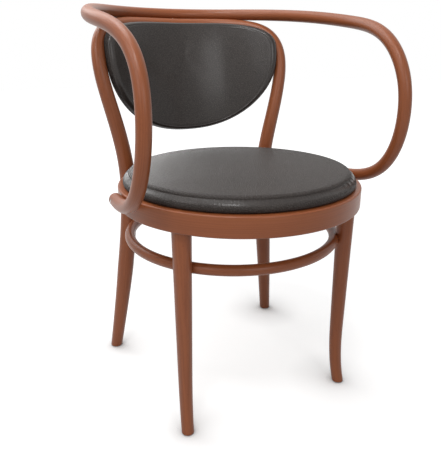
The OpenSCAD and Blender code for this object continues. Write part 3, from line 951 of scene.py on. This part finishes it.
@dataclass
class BackHoop:
    """The rear legs and the back's bow, bent from one rod.

    The guides of the bow are shares of half_width, back and top, and those of a leg are shares of the
    way from its joint with the ring to its foot.
    """

    ring: SeatRing
    half_width: float = 0.214
    back: float = 0.318
    top: float = 0.731
    shares: tuple[Triple, ...] = (
        (0, 1, 1),
        (0.36, 0.955, 1.002),
        (0.68, 0.835, 1),
        (0.9, 0.705, 0.985),
        (1, 0.615, 0.93),
        (0.97, 0.575, 0.837),
        (0.86, 0.56, 0.717),
    )
    leg_shares: tuple[Triple, ...] = ((0.08, 0.11, 0.29), (0.48, 0.42, 0.63))
    leg_angle: float = 47.6
    foot: tuple[float, float] = (0.211, 0.2235)
    foot_radius: float = 0.013
    leg_radius: float = 0.0176
    leg_radius_share: float = 0.5
    ring_radius: float = 0.0164
    top_radius: float = 0.013
    top_radius_share: float = 0.96
    bolt_radius: float = 0.003
    bolt_reach: float = 0.05
    rows: int = 420

    @property
    def joint(self) -> Array:
        """Where the right leg's centre line passes the ring."""
        return polar(self.ring.radius + self.ring_radius + GAP, self.leg_angle, self.ring.middle)

    def line(self) -> Array:
        """The rod's centre line.

        A cubic B-spline passes its guide g between a and b at (a + 4g + b) / 6, so the guide at the joint
        is set for the line to pass through the joint itself.

        Returns:
            The line's points, from the left foot over the back to the right one.
        """
        upper = np.array(self.shares) * [self.half_width, self.back, self.top]
        foot = np.array([*self.foot, 0.0])
        lower = self.joint + (foot - self.joint) * np.array(self.leg_shares)
        guide = (6 * self.joint - upper[-1] - lower[0]) / 4
        end = foot - 2 * FLOOR_GLIDE * UP
        return curve(both_sides(np.vstack([upper, guide, lower, end])))

    def radius(self, z: Array) -> Array:
        """The rod's radius, thickest half way up the legs and changing evenly between known heights.

        Args:
            z: heights.

        Returns:
            The radius at each.
        """
        thick, thin = self.leg_radius_share * self.ring.middle, self.top_radius_share * self.top
        heights = [0.0, thick, self.ring.middle, thin]
        return np.interp(z, heights, [self.foot_radius, self.leg_radius, self.ring_radius, self.top_radius])

    def bolt_hole(self) -> Hole:
        """The bolt from the right leg's outer side into the ring.

        Returns:
            The hole.
        """
        out = polar(1, self.leg_angle)
        place = self.joint + (self.ring_radius - self.bolt_radius) * out
        return Hole(place, -out, 2 * self.ring_radius + self.bolt_reach, self.bolt_radius)

    def build(self, finish: bpy.types.Material, stretcher: StretcherRing, holes: list[Hole]) -> None:
        """Makes the hoop down to its glides, coped over the stretcher ring.

        Args:
            finish: the wood.
            stretcher: the ring that its legs touch.
            holes: its screw and bolt holes.
        """
        full = self.line()
        run = run_of(full)
        half = len(full) // 2
        foot_run = np.interp(-FLOOR_GLIDE, -full[half:, 2], run[half:])
        line = along(full, np.linspace(run[-1] - foot_run, foot_run, self.rows))
        points, stick = swept(line, self.radius(line[:, 2]), level_ends=True)
        hoop = surface("back_hoop_wood", points, stick)
        carve(hoop, holes, stretcher.cope())
        settle(hoop, finish, "beech", "back_hoop")


@dataclass
class ArmRail:
    """The rod round the back and both arms, its ends screwed to the ring.

    The guides are shares of half_width, of the depth from front to back, and of the height over the ring.
    """

    ring: SeatRing
    half_width: float = 0.27
    back: float = 0.338
    front: float = 0.173
    top: float = 0.754
    radius: float = 0.012
    shares: tuple[Triple, ...] = (
        (0, 1, 1),
        (0.39, 0.95, 1),
        (0.7, 0.805, 0.998),
        (0.895, 0.57, 0.975),
        (1, 0.365, 0.933),
        (0.94, 0.195, 0.895),
        (0.9, 0.07, 0.79),
        (0.905, 0, 0.59),
        (0.92, 0.01, 0.31),
        (0.93, 0.095, 0.1),
    )
    end_angle: float = 5.0
    end_rise: float = 0.007
    end_round: float = 0.009
    seat_cut: float = 0.0015
    seat_turns: int = 720
    near_angle: float = -11.5
    near_share: float = 0.75
    near_rise_share: float = 0.15
    screw_radius: float = 0.0025
    screw_length: float = 0.035
    screw_share: float = 0.75
    spacing: float = 0.0045
    stick_offset: Triple = (1.7, 0.004, 0.006)

    def ends(self) -> tuple[Array, Array]:
        """The last two guides of the right arm, beside the ring.

        Returns:
            The guide before the end and the end.
        """
        z = self.ring.middle + self.end_rise
        near = self.ring.radius + self.radius * (1 + self.near_share)
        return (
            polar(near, self.near_angle, z + self.near_rise_share * self.radius),
            polar(self.ring.radius + self.radius - self.seat_cut, self.end_angle, z),
        )

    def line(self) -> Array:
        """The rail's centre line.

        Returns:
            The line's points, from the left arm's end over the back to the right one's.
        """
        size = np.array([self.half_width, self.back + self.front, self.top - self.ring.middle])
        upper = np.array(self.shares) * size + [0, -self.front, self.ring.middle]
        return curve(both_sides(np.vstack([upper, *self.ends()])))

    def screw_hole(self) -> Hole:
        """The screw from the right arm's end into the ring, in the line's last three spans.

        Returns:
            The hole.
        """
        near, end = self.ends()
        x = near[0] + (end[0] - near[0]) * self.screw_share
        tail = self.line()[-3 * SPAN_STEPS :]
        on = np.array([np.interp(-x, -tail[:, 0], tail[:, c]) for c in range(3)])
        inward = -unit(on * [1, 1, 0])
        place = on - (self.radius - self.screw_radius) * inward
        return Hole(place, inward, self.screw_length, self.screw_radius)

    def build(self, finish: bpy.types.Material, holes: list[Hole]) -> None:
        """Makes the rail, cut to lie against the ring.

        Args:
            finish: the wood.
            holes: its screw holes.
        """
        full = self.line()
        at, thin = stations(run_of(full)[-1], self.spacing, self.end_round)
        points, stick = swept(along(full, at), self.radius - thin)
        rail = surface("arm_rail_wood", points, stick + np.array(self.stick_offset))
        reach = self.ring.radius + GAP
        seat = np.array([[reach, self.ring.bottom], [reach, self.ring.top]])
        carve(rail, holes, surface("seat", turned(seat, np.zeros(3), UP, self.seat_turns)))
        settle(rail, finish, "beech", "arm_rail")


# Padded pieces


def resampled(values: Array, at: Array, axis: int) -> Array:
    """Values of a grid between its rows or columns, where the last column joins the first one.

    Each new value is on the cubic that passes through the two old ones beside it, with the slope there
    that the next ones out give.

    Args:
        values: the grid.
        at: places in rows or columns of the old grid.
        axis: 0 for rows, 1 for columns.

    Returns:
        The new grid.
    """
    count = values.shape[axis]
    base = np.floor(at).astype(int)
    t = at - base
    weights = columns_of(
        -0.5 * t + t**2 - 0.5 * t**3,
        1 - 2.5 * t**2 + 1.5 * t**3,
        0.5 * t + 2 * t**2 - 1.5 * t**3,
        0.5 * t**3 - 0.5 * t**2,
    )
    near = base[:, None] + np.arange(-1, 3)
    near = near % count if axis else np.clip(near, 0, count - 1)
    sums = "nw,inw...->in..." if axis else "nw,nw...->n..."
    return np.einsum(sums, weights, np.take(values, near, axis=axis))


def refined(moves: Array, coarse_run: Array, fine_run: Array, columns: int) -> Array:
    """The moves of a coarse grid on a fine one, from how far along the section their rows lie."""
    rows = np.interp(fine_run / fine_run[-1], coarse_run / coarse_run[-1], np.arange(len(moves)))
    return resampled(resampled(moves, rows, 0), np.arange(columns) * CLOTH_COLUMNS / columns, 1)


def relaxed(moves: Array, held: Array) -> Array:
    """The moves with the cloth's small folds evened out.

    In each pass a free point goes halfway to the mean of the moves beside it, over it and under it.

    Args:
        moves: rows by columns by 3, round in its columns.
        held: for each row, whether it stays as it is.

    Returns:
        The new moves.
    """
    for _ in range(RELAXING):
        beside = (np.roll(moves, 1, 1) + np.roll(moves, -1, 1)) / 2
        over = moves.copy()
        over[1:-1] = (moves[:-2] + moves[2:]) / 2
        moves = np.where(held[:, None, None], moves, moves / 2 + (beside + over) / 4)
    return moves


def inflated(points: Array, held: Array, cap: float) -> Array:
    """How far the cloth simulation moves each point of a closed grid when the air inside pushes.

    Args:
        points: the slack shape, rows by columns by 3.
        held: for each row, whether the leather is sewn or stapled down there.
        cap: the furthest that a point may move.
    """
    rows, columns = points.shape[:2]
    piece = surface("inflating", points)
    group = piece.vertex_groups.new(name="held")
    group.add(np.nonzero(np.repeat(held, columns))[0].tolist(), 1.0, "REPLACE")
    cloth = piece.modifiers.new("cloth", "CLOTH")
    cloth.settings.quality = CLOTH_QUALITY
    cloth.settings.mass = CLOTH_MASS
    cloth.settings.use_pressure = True
    cloth.settings.uniform_pressure_force = CLOTH_PRESSURE
    cloth.settings.vertex_group_mass = "held"
    cloth.settings.effector_weights.gravity = 0
    cloth.point_cache.frame_end = CLOTH_FRAMES
    for step in range(1, CLOTH_FRAMES + 1):
        bpy.context.scene.frame_set(step)
    graph = bpy.context.evaluated_depsgraph_get()
    blown = piece.evaluated_get(graph).data
    places = np.empty(len(blown.vertices) * 3)
    blown.vertices.foreach_get("co", places)
    moves = places.reshape(-1, 3)[: rows * columns].reshape(points.shape) - SEAT_AXIS - points
    bpy.data.meshes.remove(piece.data)
    bpy.context.scene.frame_set(1)
    moves = relaxed(moves, held)
    size = np.linalg.norm(moves, axis=2, keepdims=True)
    log.info("cloth moved points by up to %.1f mm", size.max() * 1000)
    return moves * cap / np.maximum(cap, size.max())


def puckers(run: Array, seed: int, wave: float) -> Array:
    """Height from -1 to 1 of the small gathers beside a seam, along its run.

    Two sines of nearly the same wave beat together, and slower sines with fixed phases make some
    stretches calm and some lively.

    Args:
        run: distance along the seam, its last place one step short of its first.
        seed: which phases.
        wave: the gathers' spacing.

    Returns:
        A height for each place.
    """
    length = run[-1] + run[1]
    phases = np.random.default_rng(seed).uniform(0, 2 * math.pi, 2 + len(CALM_WAVES))
    turn = run / length * 2 * math.pi
    count = round(length / wave)
    first = np.sin(count * turn + phases[0])
    second = np.sin(math.floor(count * SECOND_WAVES) * turn + phases[1])
    ripple = (first + SECOND_HEIGHT * second) / (1 + SECOND_HEIGHT)
    calm = sum(np.sin(n * turn + p) for n, p in zip(CALM_WAVES, phases[2:]))
    return ripple * np.clip(USUAL_SHARE + CALM_SHARE * calm, 0, 1)


def sewn(points: Array, from_seam: Array, groove: tuple[float, float], gather: Array, ripple: Array) -> Array:
    """A grid with its seam drawn in and the leather gathered beside it.

    Each point moves along the surface's normal, in by the seam's bell-shaped groove and out or in by
    the gathers, which fade out on the seam itself.

    Args:
        points: the grid.
        from_seam: each row's distance past the seam.
        groove: the groove's depth and width.
        gather: the gathers' height in each row.
        ripple: their shape from -1 to 1 in each column.

    Returns:
        The new grid.
    """
    beside = np.roll(points, -1, 1) - np.roll(points, 1, 1)
    normal = unit(np.cross(beside, np.gradient(points, axis=0)))
    depth, width = groove
    clear = np.clip(np.abs(from_seam) / SEAM_CLEAR, 0, 1)
    out = (gather * clear)[:, None] * ripple - (depth * bell(from_seam, 0, width))[:, None]
    return points + normal * out[..., None]


@dataclass
class SeatCushion:
    """The round cushion: a top sewn to a band that bulges a little, flat where it lies on the ring."""

    ring: SeatRing
    margin: float = 0.012
    seam_height: float = 0.021
    seam_in: float = 0.009
    bulge: float = 0.004
    shoulder: float = 0.0055
    crown: float = 0.005
    crown_power: float = 0.9
    middle_radius: float = 0.02
    swell: float = 0.0011
    groove: tuple[float, float] = (0.00012, 0.0009)
    pucker: float = 0.001
    pucker_top_share: float = 0.35
    pucker_reach: float = 0.009
    pucker_start: float = 0.002
    pucker_wave: float = 0.0064
    pucker_seed: int = 3
    polish: tuple[float, float] = (-0.0065, 0.0045)
    toe: float = 0.003
    toe_share: float = 0.12
    toe_height: float = 0.0042
    coarse_rows: int = 12
    fine_rows: int = 44
    turns: int = 560

    def section(self, slack: float, rows: int) -> tuple[Array, int]:
        """The cushion's half section, from under its foot up the band and over the top.

        The band rises in a square-law lean with a sine bulge, the shoulder is a quarter ellipse and the
        crown a parabola. Slack flattens the bulge and the crown before the air goes in.

        Args:
            slack: how much lower the crown starts. The bulge is half of it less.
            rows: rows for each stretch.

        Returns:
            Rows of (radius, height above the ring) and the row of the seam.
        """
        foot = self.ring.radius - self.margin
        seam = foot - self.seam_in
        edge = seam - self.seam_in
        under = columns_of(np.linspace(self.middle_radius, foot - self.toe, rows // 2), GAP)
        up = np.linspace(0, 1, rows)
        lean = foot + (seam - foot) * up**2 + (self.bulge - slack / 2) * np.sin(math.pi * up)
        drawn_in = self.toe * (1 - np.minimum(up / self.toe_share, 1)) ** 2
        band = columns_of(lean - drawn_in, GAP + (self.seam_height - GAP) * up)
        a = np.linspace(0, math.pi / 2, rows // 2)[1:]
        turn = columns_of(seam - self.seam_in * (1 - np.cos(a)), self.seam_height + self.shoulder * np.sin(a))
        t = np.linspace(0, 1, 2 * rows)[1:-1] ** self.crown_power
        rise = (self.crown - slack) * (1 - (1 - t) ** 2)
        top = columns_of(edge * (1 - t), self.seam_height + self.shoulder + rise)
        return np.concatenate([under, band[1:], turn, top]), len(under) + len(band) - 2

    def gather(self, from_seam: Array) -> Array:
        """How high the gathers are at a distance past the seam: bells that are weaker on the top.

        Args:
            from_seam: the distances, negative on the band.

        Returns:
            The heights.
        """
        below = bell(np.minimum(from_seam + self.pucker_start, 0), 0, self.pucker_reach) * (from_seam < 0)
        above = self.pucker_top_share * bell(from_seam, 0, self.pucker_reach) * (from_seam >= 0)
        return self.pucker * (below + above)

    def build(self, finish: bpy.types.Material) -> None:
        """Blows a coarse slack cushion up, lays its swell on a fine one, then sews the seam into that.

        Args:
            finish: the leather.
        """
        place = self.ring.top * UP
        coarse, seam = self.section(self.swell, self.coarse_rows)
        held = (coarse[:, 1] <= self.toe_height) | (np.arange(len(coarse)) == seam)
        moves = inflated(turned(coarse, place, UP, CLOTH_COLUMNS), held, self.swell)
        fine, seam = self.section(self.swell, self.fine_rows)
        run = run_of(fine)
        from_seam = run - run[seam]
        blown = turned(fine, place, UP, self.turns) + refined(moves, run_of(coarse), run, self.turns)
        seam_run = around(self.turns) * (self.ring.radius - self.margin - self.seam_in)
        ripple = puckers(seam_run, self.pucker_seed, self.pucker_wave)
        points = sewn(blown, from_seam, self.groove, self.gather(from_seam), ripple)
        cushion = surface("seat_cushion_leather", points, polish=bell(from_seam, *self.polish))
        settle(cushion, finish, "leather", "seat_cover", "seat_foam")


@dataclass
class BackPanel:
    """The padded back: a rounded leather pad and a rear cover, bent to the sitter's back."""

    half_width: float = 0.193
    top: float = 0.734
    height: float = 0.234
    wide_share: float = 0.69
    top_power: float = 2.9
    low_power: float = 2.3
    outline_steps: int = 4001
    bend: float = 0.25602
    back: float = 0.281
    slope: float = 10.4
    edge_thickness: float = 0.0206
    crown: float = 0.005
    rear_crown: float = 0.0006
    middle_share: float = 0.02
    rim_power: float = 0.75
    side_fill: float = 0.0032
    side_power: int = 6
    side_rear_power: int = 8
    swell: float = 0.0024
    seam_in: float = 0.007
    groove: tuple[float, float] = (0.0006, 0.001)
    pucker: float = 0.00022
    pucker_reach: float = 0.005
    pucker_wave: float = 0.006
    pucker_seed: int = 8
    face_polish: float = 0.64
    rim_polish: tuple[float, float] = (0.003, 0.006)
    coarse_rows: int = 14
    fine_rows: int = 40
    cover_rows: int = 30
    sides: int = 480

    @property
    def origin(self) -> Array:
        """The place of the outline's widest line.

        Returns:
            Its middle, in the panel's middle surface.
        """
        high = self.height * (1 - self.wide_share)
        a = math.radians(self.slope)
        return np.array([0.0, self.back - high * math.sin(a), self.top - high * math.cos(a)])

    def reach(self, a: Array, inward: Array) -> Array:
        """Distance of the outline from its middle: a superellipse, (x / wide)^n + (y / high)^n = 1.

        Args:
            a: directions.
            inward: how far the outline is drawn in.

        Returns:
            The distances.
        """
        upper = np.sin(a) > 0
        high = np.where(upper, self.height * (1 - self.wide_share), self.height * self.wide_share) - inward
        wide = self.half_width - inward
        power = np.where(upper, self.top_power, self.low_power)
        return ((np.abs(np.cos(a)) / wide) ** power + (np.abs(np.sin(a)) / high) ** power) ** (-1 / power)

    def directions(self, count: int) -> Array:
        """Directions of points that lie evenly along the outline.

        Args:
            count: how many points.

        Returns:
            The directions.
        """
        a = np.linspace(0, 2 * math.pi, self.outline_steps)
        run = run_of(self.reach(a, np.zeros_like(a))[:, None] * columns_of(np.cos(a), np.sin(a), 0.0))
        return np.interp(np.arange(count) / count * run[-1], run, a)

    def leant(self, q: Array) -> Array:
        """Points of the upright panel, leant back about its widest line.

        Args:
            q: points from the panel's origin.

        Returns:
            Their places in the seat's frame.
        """
        c, s = math.cos(math.radians(self.slope)), math.sin(math.radians(self.slope))
        x, y, z = q[..., 0], q[..., 1], q[..., 2]
        return self.origin + np.stack([x, y * c + z * s, -y * s + z * c], -1)

    def upright(self, point: Array) -> Array:
        """Where a point lies from the panel's origin if the panel stands upright: leant() turned back.

        Args:
            point: a place in the seat's frame.

        Returns:
            The place from the origin.
        """
        c, s = math.cos(math.radians(self.slope)), math.sin(math.radians(self.slope))
        x, y, z = point - self.origin
        return np.array([x, y * c - z * s, y * s + z * c])

    def placed(self, rings: Array, count: int) -> Array:
        """Points of rings bent in plan and sloped back.

        A point x across and y up the outline, t behind the middle surface, lies at the angle whose sine is
        x / bend on a circle of radius bend + t, and the whole leans back by the slope. In direction a, t
        is behind + fill * cos(a)^side_power.

        Args:
            rings: rows of (distance drawn in, share of the outline, place behind the middle surface,
                how much further behind at the two sides).
            count: points in each ring, which run clockwise seen from in front.

        Returns:
            Points, rings by count by 3.
        """
        a = -self.directions(count)[None, :]
        inward, share, behind, fill = (rings[:, c, None] for c in range(4))
        reach = share * self.reach(a, inward)
        x, y = reach * np.cos(a), reach * np.sin(a)
        turn = np.arcsin(x / self.bend)
        r = self.bend + (behind + fill * np.cos(a) ** self.side_power)
        return self.leant(columns_of(r * np.sin(turn), r * np.cos(turn) - self.bend, y))

    def pad_rings(self, slack: float, rows: int) -> tuple[Array, int]:
        """Rings of the front pad: a crowned face, a rolled edge and a hidden back.

        Args:
            slack: how much flatter the crown starts, before the air goes in.
            rows: rows for each stretch.

        Returns:
            Rings for placed() and the row of the seam.
        """
        edge = self.edge_thickness / 2
        s = np.linspace(self.middle_share, 1, 2 * rows)
        face = columns_of(self.seam_in, s, -edge - (self.crown - slack) * (1 - s**2), 0.0)
        a = np.linspace(math.pi / 2, 0, rows)[1:]
        roll = columns_of(self.seam_in * (1 - np.cos(a)), 1.0, -edge * np.sin(a), 0.0)
        rear = columns_of(0.0, np.linspace(1, self.middle_share, rows)[1:], -GAP / 2, 0.0)
        return np.concatenate([face, roll, rear]), len(face) - 1

    def cover_rings(self) -> Array:
        """Rings of the rear cover: a hidden front, a rounded edge and a flat back.

        Returns:
            Rings for placed().
        """
        edge = self.edge_thickness / 2
        front = columns_of(0.0, np.linspace(self.middle_share, 1, self.cover_rows), GAP, 0.0)
        a = np.linspace(0, math.pi / 2, self.cover_rows)[1:]
        out, up = np.cos(a) ** self.rim_power, np.sin(a) ** self.rim_power
        turn = columns_of(edge * (1 - out), 1.0, GAP + (edge - GAP) * up, self.side_fill * up)
        s = np.linspace(1, self.middle_share, self.cover_rows)[1:]
        behind = edge + self.rear_crown * (1 - s**2)
        rear = columns_of(edge, s, behind, self.side_fill * s**self.side_rear_power)
        return np.concatenate([front, turn, rear])

    def build(self, finish: bpy.types.Material) -> None:
        """Makes the pad from a slack one that cloth blows up, and the tight rear cover.

        Args:
            finish: the leather.
        """
        rings, seam = self.pad_rings(self.swell, self.coarse_rows)
        coarse = self.placed(rings, CLOTH_COLUMNS)
        moves = inflated(coarse, np.arange(len(rings)) >= seam, self.swell)
        rings, seam = self.pad_rings(self.swell, self.fine_rows)
        fine = self.placed(rings, self.sides)
        run = run_of(fine[:, 0])
        from_seam = run - run[seam]
        blown = fine + refined(moves, run_of(coarse[:, 0]), run, self.sides)
        step = np.linalg.norm(blown[seam, 1] - blown[seam, 0])
        ripple = puckers(np.arange(self.sides) * step, self.pucker_seed, self.pucker_wave)
        gather = self.pucker * bell(from_seam, 0, self.pucker_reach)
        points = sewn(blown, from_seam, self.groove, gather, ripple)
        polish = self.face_polish + (1 - self.face_polish) * bell(from_seam, *self.rim_polish)
        pad = surface("back_pad_leather", points, polish=polish)
        settle(pad, finish, "leather", "back_pad")
        cover = surface("back_cover_leather", self.placed(self.cover_rings(), self.sides))
        settle(cover, finish, "leather", "back_cover")


# Fasteners, which the CAD nodes show: the holes that they stand in


@dataclass
class Joinery:
    """Screws between the rail, the hoop, the panel and the ring."""

    ring: SeatRing
    hoop: BackHoop
    rail: ArmRail
    screw_radius: float = 0.002
    rail_shares: tuple[float, ...] = (0.0, 0.5)
    rail_length: float = 0.037
    board_angles: tuple[float, ...] = (-90, -8, 90, 188)
    board_length: float = 0.0345
    panel_shares: tuple[float, ...] = (0.33, 0.77)
    panel_pulls: tuple[tuple[float, float], ...] = ((1, 0.75), (0.98, 0.72))
    panel_length: float = 0.03
    core_depth: float = 0.0033

    def rail_holes(self) -> list[Hole]:
        """Screws through the rail into the hoop's top.

        Returns:
            The middle hole and the pairs beside it.
        """
        made = []
        rail, hoop = self.rail.line(), self.hoop.line()
        for share in self.rail_shares:
            x = share * self.hoop.half_width
            a, b = crossing(rail, 0, x), crossing(hoop, 0, x)
            d = unit(b - a)
            start = a - (self.rail.radius - self.screw_radius) * d
            hole = Hole(start, d, self.rail_length, self.screw_radius)
            made += [hole] if share == 0 else hole.pair()
        return made

    def panel_holes(self, panel: BackPanel) -> list[Hole]:
        """Screws from the back of the hoop into the panel's core.

        Each aims at the point of the core that lies straight in front of the hoop, pulled towards the
        panel's middle.

        Args:
            panel: the panel.

        Returns:
            The holes in pairs.
        """
        made = []
        hoop = self.hoop.line()
        r = panel.bend + self.core_depth
        for share, pull in zip(self.panel_shares, self.panel_pulls):
            on = crossing(hoop, 0, share * self.hoop.half_width)
            x, y, z = panel.upright(on)
            across, up = np.array([x * panel.bend / math.hypot(x, y + panel.bend), z]) * pull
            turn = math.asin(across / panel.bend)
            at = panel.leant(np.array([r * math.sin(turn), r * math.cos(turn) - panel.bend, up]))
            d = unit(at - on)
            start = on - (self.hoop.top_radius - self.screw_radius) * d
            made += Hole(start, d, self.panel_length, self.screw_radius).pair()
        return made

    def board_holes(self) -> list[Hole]:
        """Screws from under the ring into the seat board.

        Returns:
            The holes.
        """
        radius = self.ring.radius - self.ring.wall + self.ring.step_width / 2
        z = self.ring.bottom + self.screw_radius
        places = [polar(radius, a, z) for a in self.board_angles]
        return [Hole(place, UP, self.board_length, self.screw_radius) for place in places]


def dress(finish: bpy.types.Material, *nodes: str) -> None:
    """Gives CAD nodes a material.

    Args:
        finish: the material.
        nodes: the nodes' names.
    """
    for name in nodes:
        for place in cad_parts[name].material_slots:
            place.material = finish
        log.info("%s: dressed in %s", name, finish.name)


# Studio


@dataclass(frozen=True)
class Lamp:
    """A square soft light, its azimuth in degrees from the front, anticlockwise seen from above."""

    name: str
    azimuth: float
    elevation: float
    distance: float
    size: float
    power: float
    only: str = ""

    def light(self, aim: Vector) -> None:
        """Makes the lamp. One that is for a single piece lights nothing else, and nothing else shades it.

        Args:
            aim: the point it looks at.
        """
        a, e = math.radians(self.azimuth), math.radians(self.elevation)
        out = Vector((math.sin(a) * math.cos(e), -math.cos(a) * math.cos(e), math.sin(e)))
        data = bpy.data.lights.new(self.name, "AREA")
        data.size, data.energy = self.size, self.power
        lamp = bpy.data.objects.new(self.name, data)
        lamp.location = aim + self.distance * out
        lamp.rotation_euler = (-out).to_track_quat("-Z", "Y").to_euler()
        bpy.context.scene.collection.objects.link(lamp)
        if self.only:
            lit = bpy.data.collections.new(f"{self.name}_piece")
            lit.objects.link(bpy.data.objects[self.only])
            lamp.light_linking.receiver_collection = lit
            lamp.light_linking.blocker_collection = lit


@dataclass
class Studio:
    """White floor and background, soft lights and the photograph's camera."""

    camera_place: Triple = (-0.4775, -0.9153, 0.6876)
    camera_heading: Triple = (0.4272, 0.8417, -0.3302)
    lens: float = 41.18
    sensor: float = 36.0
    floor_size: float = 16.0
    floor_colour: Triple = (0.6, 0.6, 0.6)
    near_glow: float = 0.68
    far_glow: float = 0.3
    lit_floor: tuple[float, float] = (0.9, 2.4)
    shade_reach: float = 0.1
    shade_samples: int = 8
    shade: float = 3.0
    sky_strength: float = 0.12
    aim: Triple = (0.0, 0.0, 0.45)
    lamps: tuple[Lamp, ...] = (
        Lamp("back_left", 205, 38, 2.6, 1.3, 14),
        Lamp("back_high", 180, 58, 2.6, 1.3, 10),
        Lamp("front_left", 322, 60, 2.6, 0.45, 20),
        Lamp("side_left", 305, 30, 2.6, 1.3, 11),
        Lamp("front", 0, 24, 2.6, 0.9, 11),
        Lamp("top", 236, 74, 1.3, 0.6, 5),
        Lamp("rim_left", 280, 44, 1.53, 0.5, 2.8),
        Lamp("seat_glow", 174, 17, 2.6, 1.0, 30, "seat_cushion_leather"),
    )

    def camera(self) -> None:
        """Makes the camera and hands it to the scene."""
        data = bpy.data.cameras.new("photo_camera")
        data.sensor_fit = "VERTICAL"
        data.sensor_width = data.sensor_height = self.sensor
        data.lens = self.lens
        camera = bpy.data.objects.new("photo_camera", data)
        camera.location = self.camera_place
        camera.rotation_euler = Vector(self.camera_heading).to_track_quat("-Z", "Y").to_euler()
        bpy.context.scene.collection.objects.link(camera)
        bpy.context.scene.camera = camera

    def floor(self) -> None:
        """A level sheet that looks white and keeps the chair's shadow."""
        half = self.floor_size / 2
        mesh = bpy.data.meshes.new("floor")
        corners = [(-half, -half, 0), (half, -half, 0), (half, half, 0), (-half, half, 0)]
        mesh.from_pydata(corners, [], [(0, 1, 2, 3)])
        floor = bpy.data.objects.new("floor", mesh)
        bpy.context.scene.collection.objects.link(floor)
        s = Shader("floor_white", Roughness=0.9, Base_Color=(*self.floor_colour, 1))
        self.feed_floor(s)
        mesh.materials.append(s.material)

    def feed_floor(self, s: Shader) -> None:
        """Adds light of its own to the floor for rays that look at it, on top of what falls on it.

        The lamps light the floor round the chair, so its own light grows with the distance from there. It
        stands for a white surround, so what is close over the floor, such as a foot, shades it.

        Args:
            s: the floor's shader.
        """
        x, y, _ = s.parts(s.object_place())
        far = (x * x + y * y).math("SQRT").band(*self.lit_floor)
        settings = {"samples": self.shade_samples}
        open_sky = s.node("ShaderNodeAmbientOcclusion", settings, {"Distance": self.shade_reach})[1]
        own = self.seen(s) * open_sky.math("POWER", self.shade) * (far * self.far_glow + self.near_glow)
        glow = s.node("ShaderNodeEmission", {}, {"Color": own})[0]
        both = s.node("ShaderNodeAddShader", {}, {0: Signal(s, s.surface.outputs[0]), 1: glow})[0]
        s.feed(s.tree.nodes["Material Output"].inputs["Surface"], both)

    @staticmethod
    def seen(s: Nodes) -> Signal:
        """1 for rays from the camera, a gloss or a glass, and 0 for light that bounces.

        Args:
            s: the nodes it is for.

        Returns:
            The signal.
        """
        rays = s.node("ShaderNodeLightPath", {}, {})
        camera, glossy, glass = rays[0], rays[3], rays[6]
        return camera.math("MAXIMUM", glossy).math("MAXIMUM", glass)

    def sky(self) -> None:
        """A white surround that lights the chair softly."""
        world = bpy.data.worlds.new("studio")
        world.use_nodes = True
        s = Nodes(world.node_tree)
        background = world.node_tree.nodes["Background"].inputs
        s.feed(background["Color"], (1, 1, 1, 1))
        s.feed(background["Strength"], self.seen(s) * (1 - self.sky_strength) + self.sky_strength)
        bpy.context.scene.world = world

    def build(self) -> None:
        """Makes the studio."""
        self.camera()
        self.floor()
        self.sky()
        for lamp in self.lamps:
            lamp.light(Vector(self.aim))
        bpy.context.scene.view_settings.view_transform = "Standard"


def main() -> None:
    """Builds the chair over its CAD frame and sets up the studio."""
    logging.basicConfig(level=logging.INFO, format="%(relativeCreated)6.0f ms  %(message)s")
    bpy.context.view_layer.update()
    beech, leather = StainedBeech().build(), Leather().build()
    plywood, steel, nylon = Plywood().build(), PlatedSteel().build(), Nylon().build()

    ring = SeatRing()
    stretcher = StretcherRing()
    legs = FrontLegs(ring)
    hoop = BackHoop(ring)
    rail = ArmRail(ring)
    panel = BackPanel()
    joinery = Joinery(ring, hoop, rail)

    front_ties = stretcher.holes([legs.centre(np.array(stretcher.height))])
    rear_ties = stretcher.holes([crossing(hoop.line(), 2, stretcher.height)])
    rail_holes = joinery.rail_holes()
    panel_holes = joinery.panel_holes(panel)

    stretcher.build(beech, front_ties + rear_ties)
    ring.build(beech, legs.tenon_hole().pair() + joinery.board_holes())
    legs.build(beech, stretcher, front_ties)
    hoop.build(beech, stretcher, rear_ties + hoop.bolt_hole().pair() + rail_holes + panel_holes)
    rail.build(beech, rail.screw_hole().pair() + rail_holes)
    SeatCushion(ring).build(leather)
    panel.build(leather)

    dress(plywood, "seat_board", "back_core")
    dress(nylon, "panel_spacers", "foot_glides")
    dress(steel, "rear_leg_bolts", "rear_leg_nuts", "arm_screws", "rail_screws", "panel_screws")
    dress(steel, "seat_board_screws", "stretcher_screws", "tenon_screws")

    Studio().build()


if __name__ == "__main__":
    main()
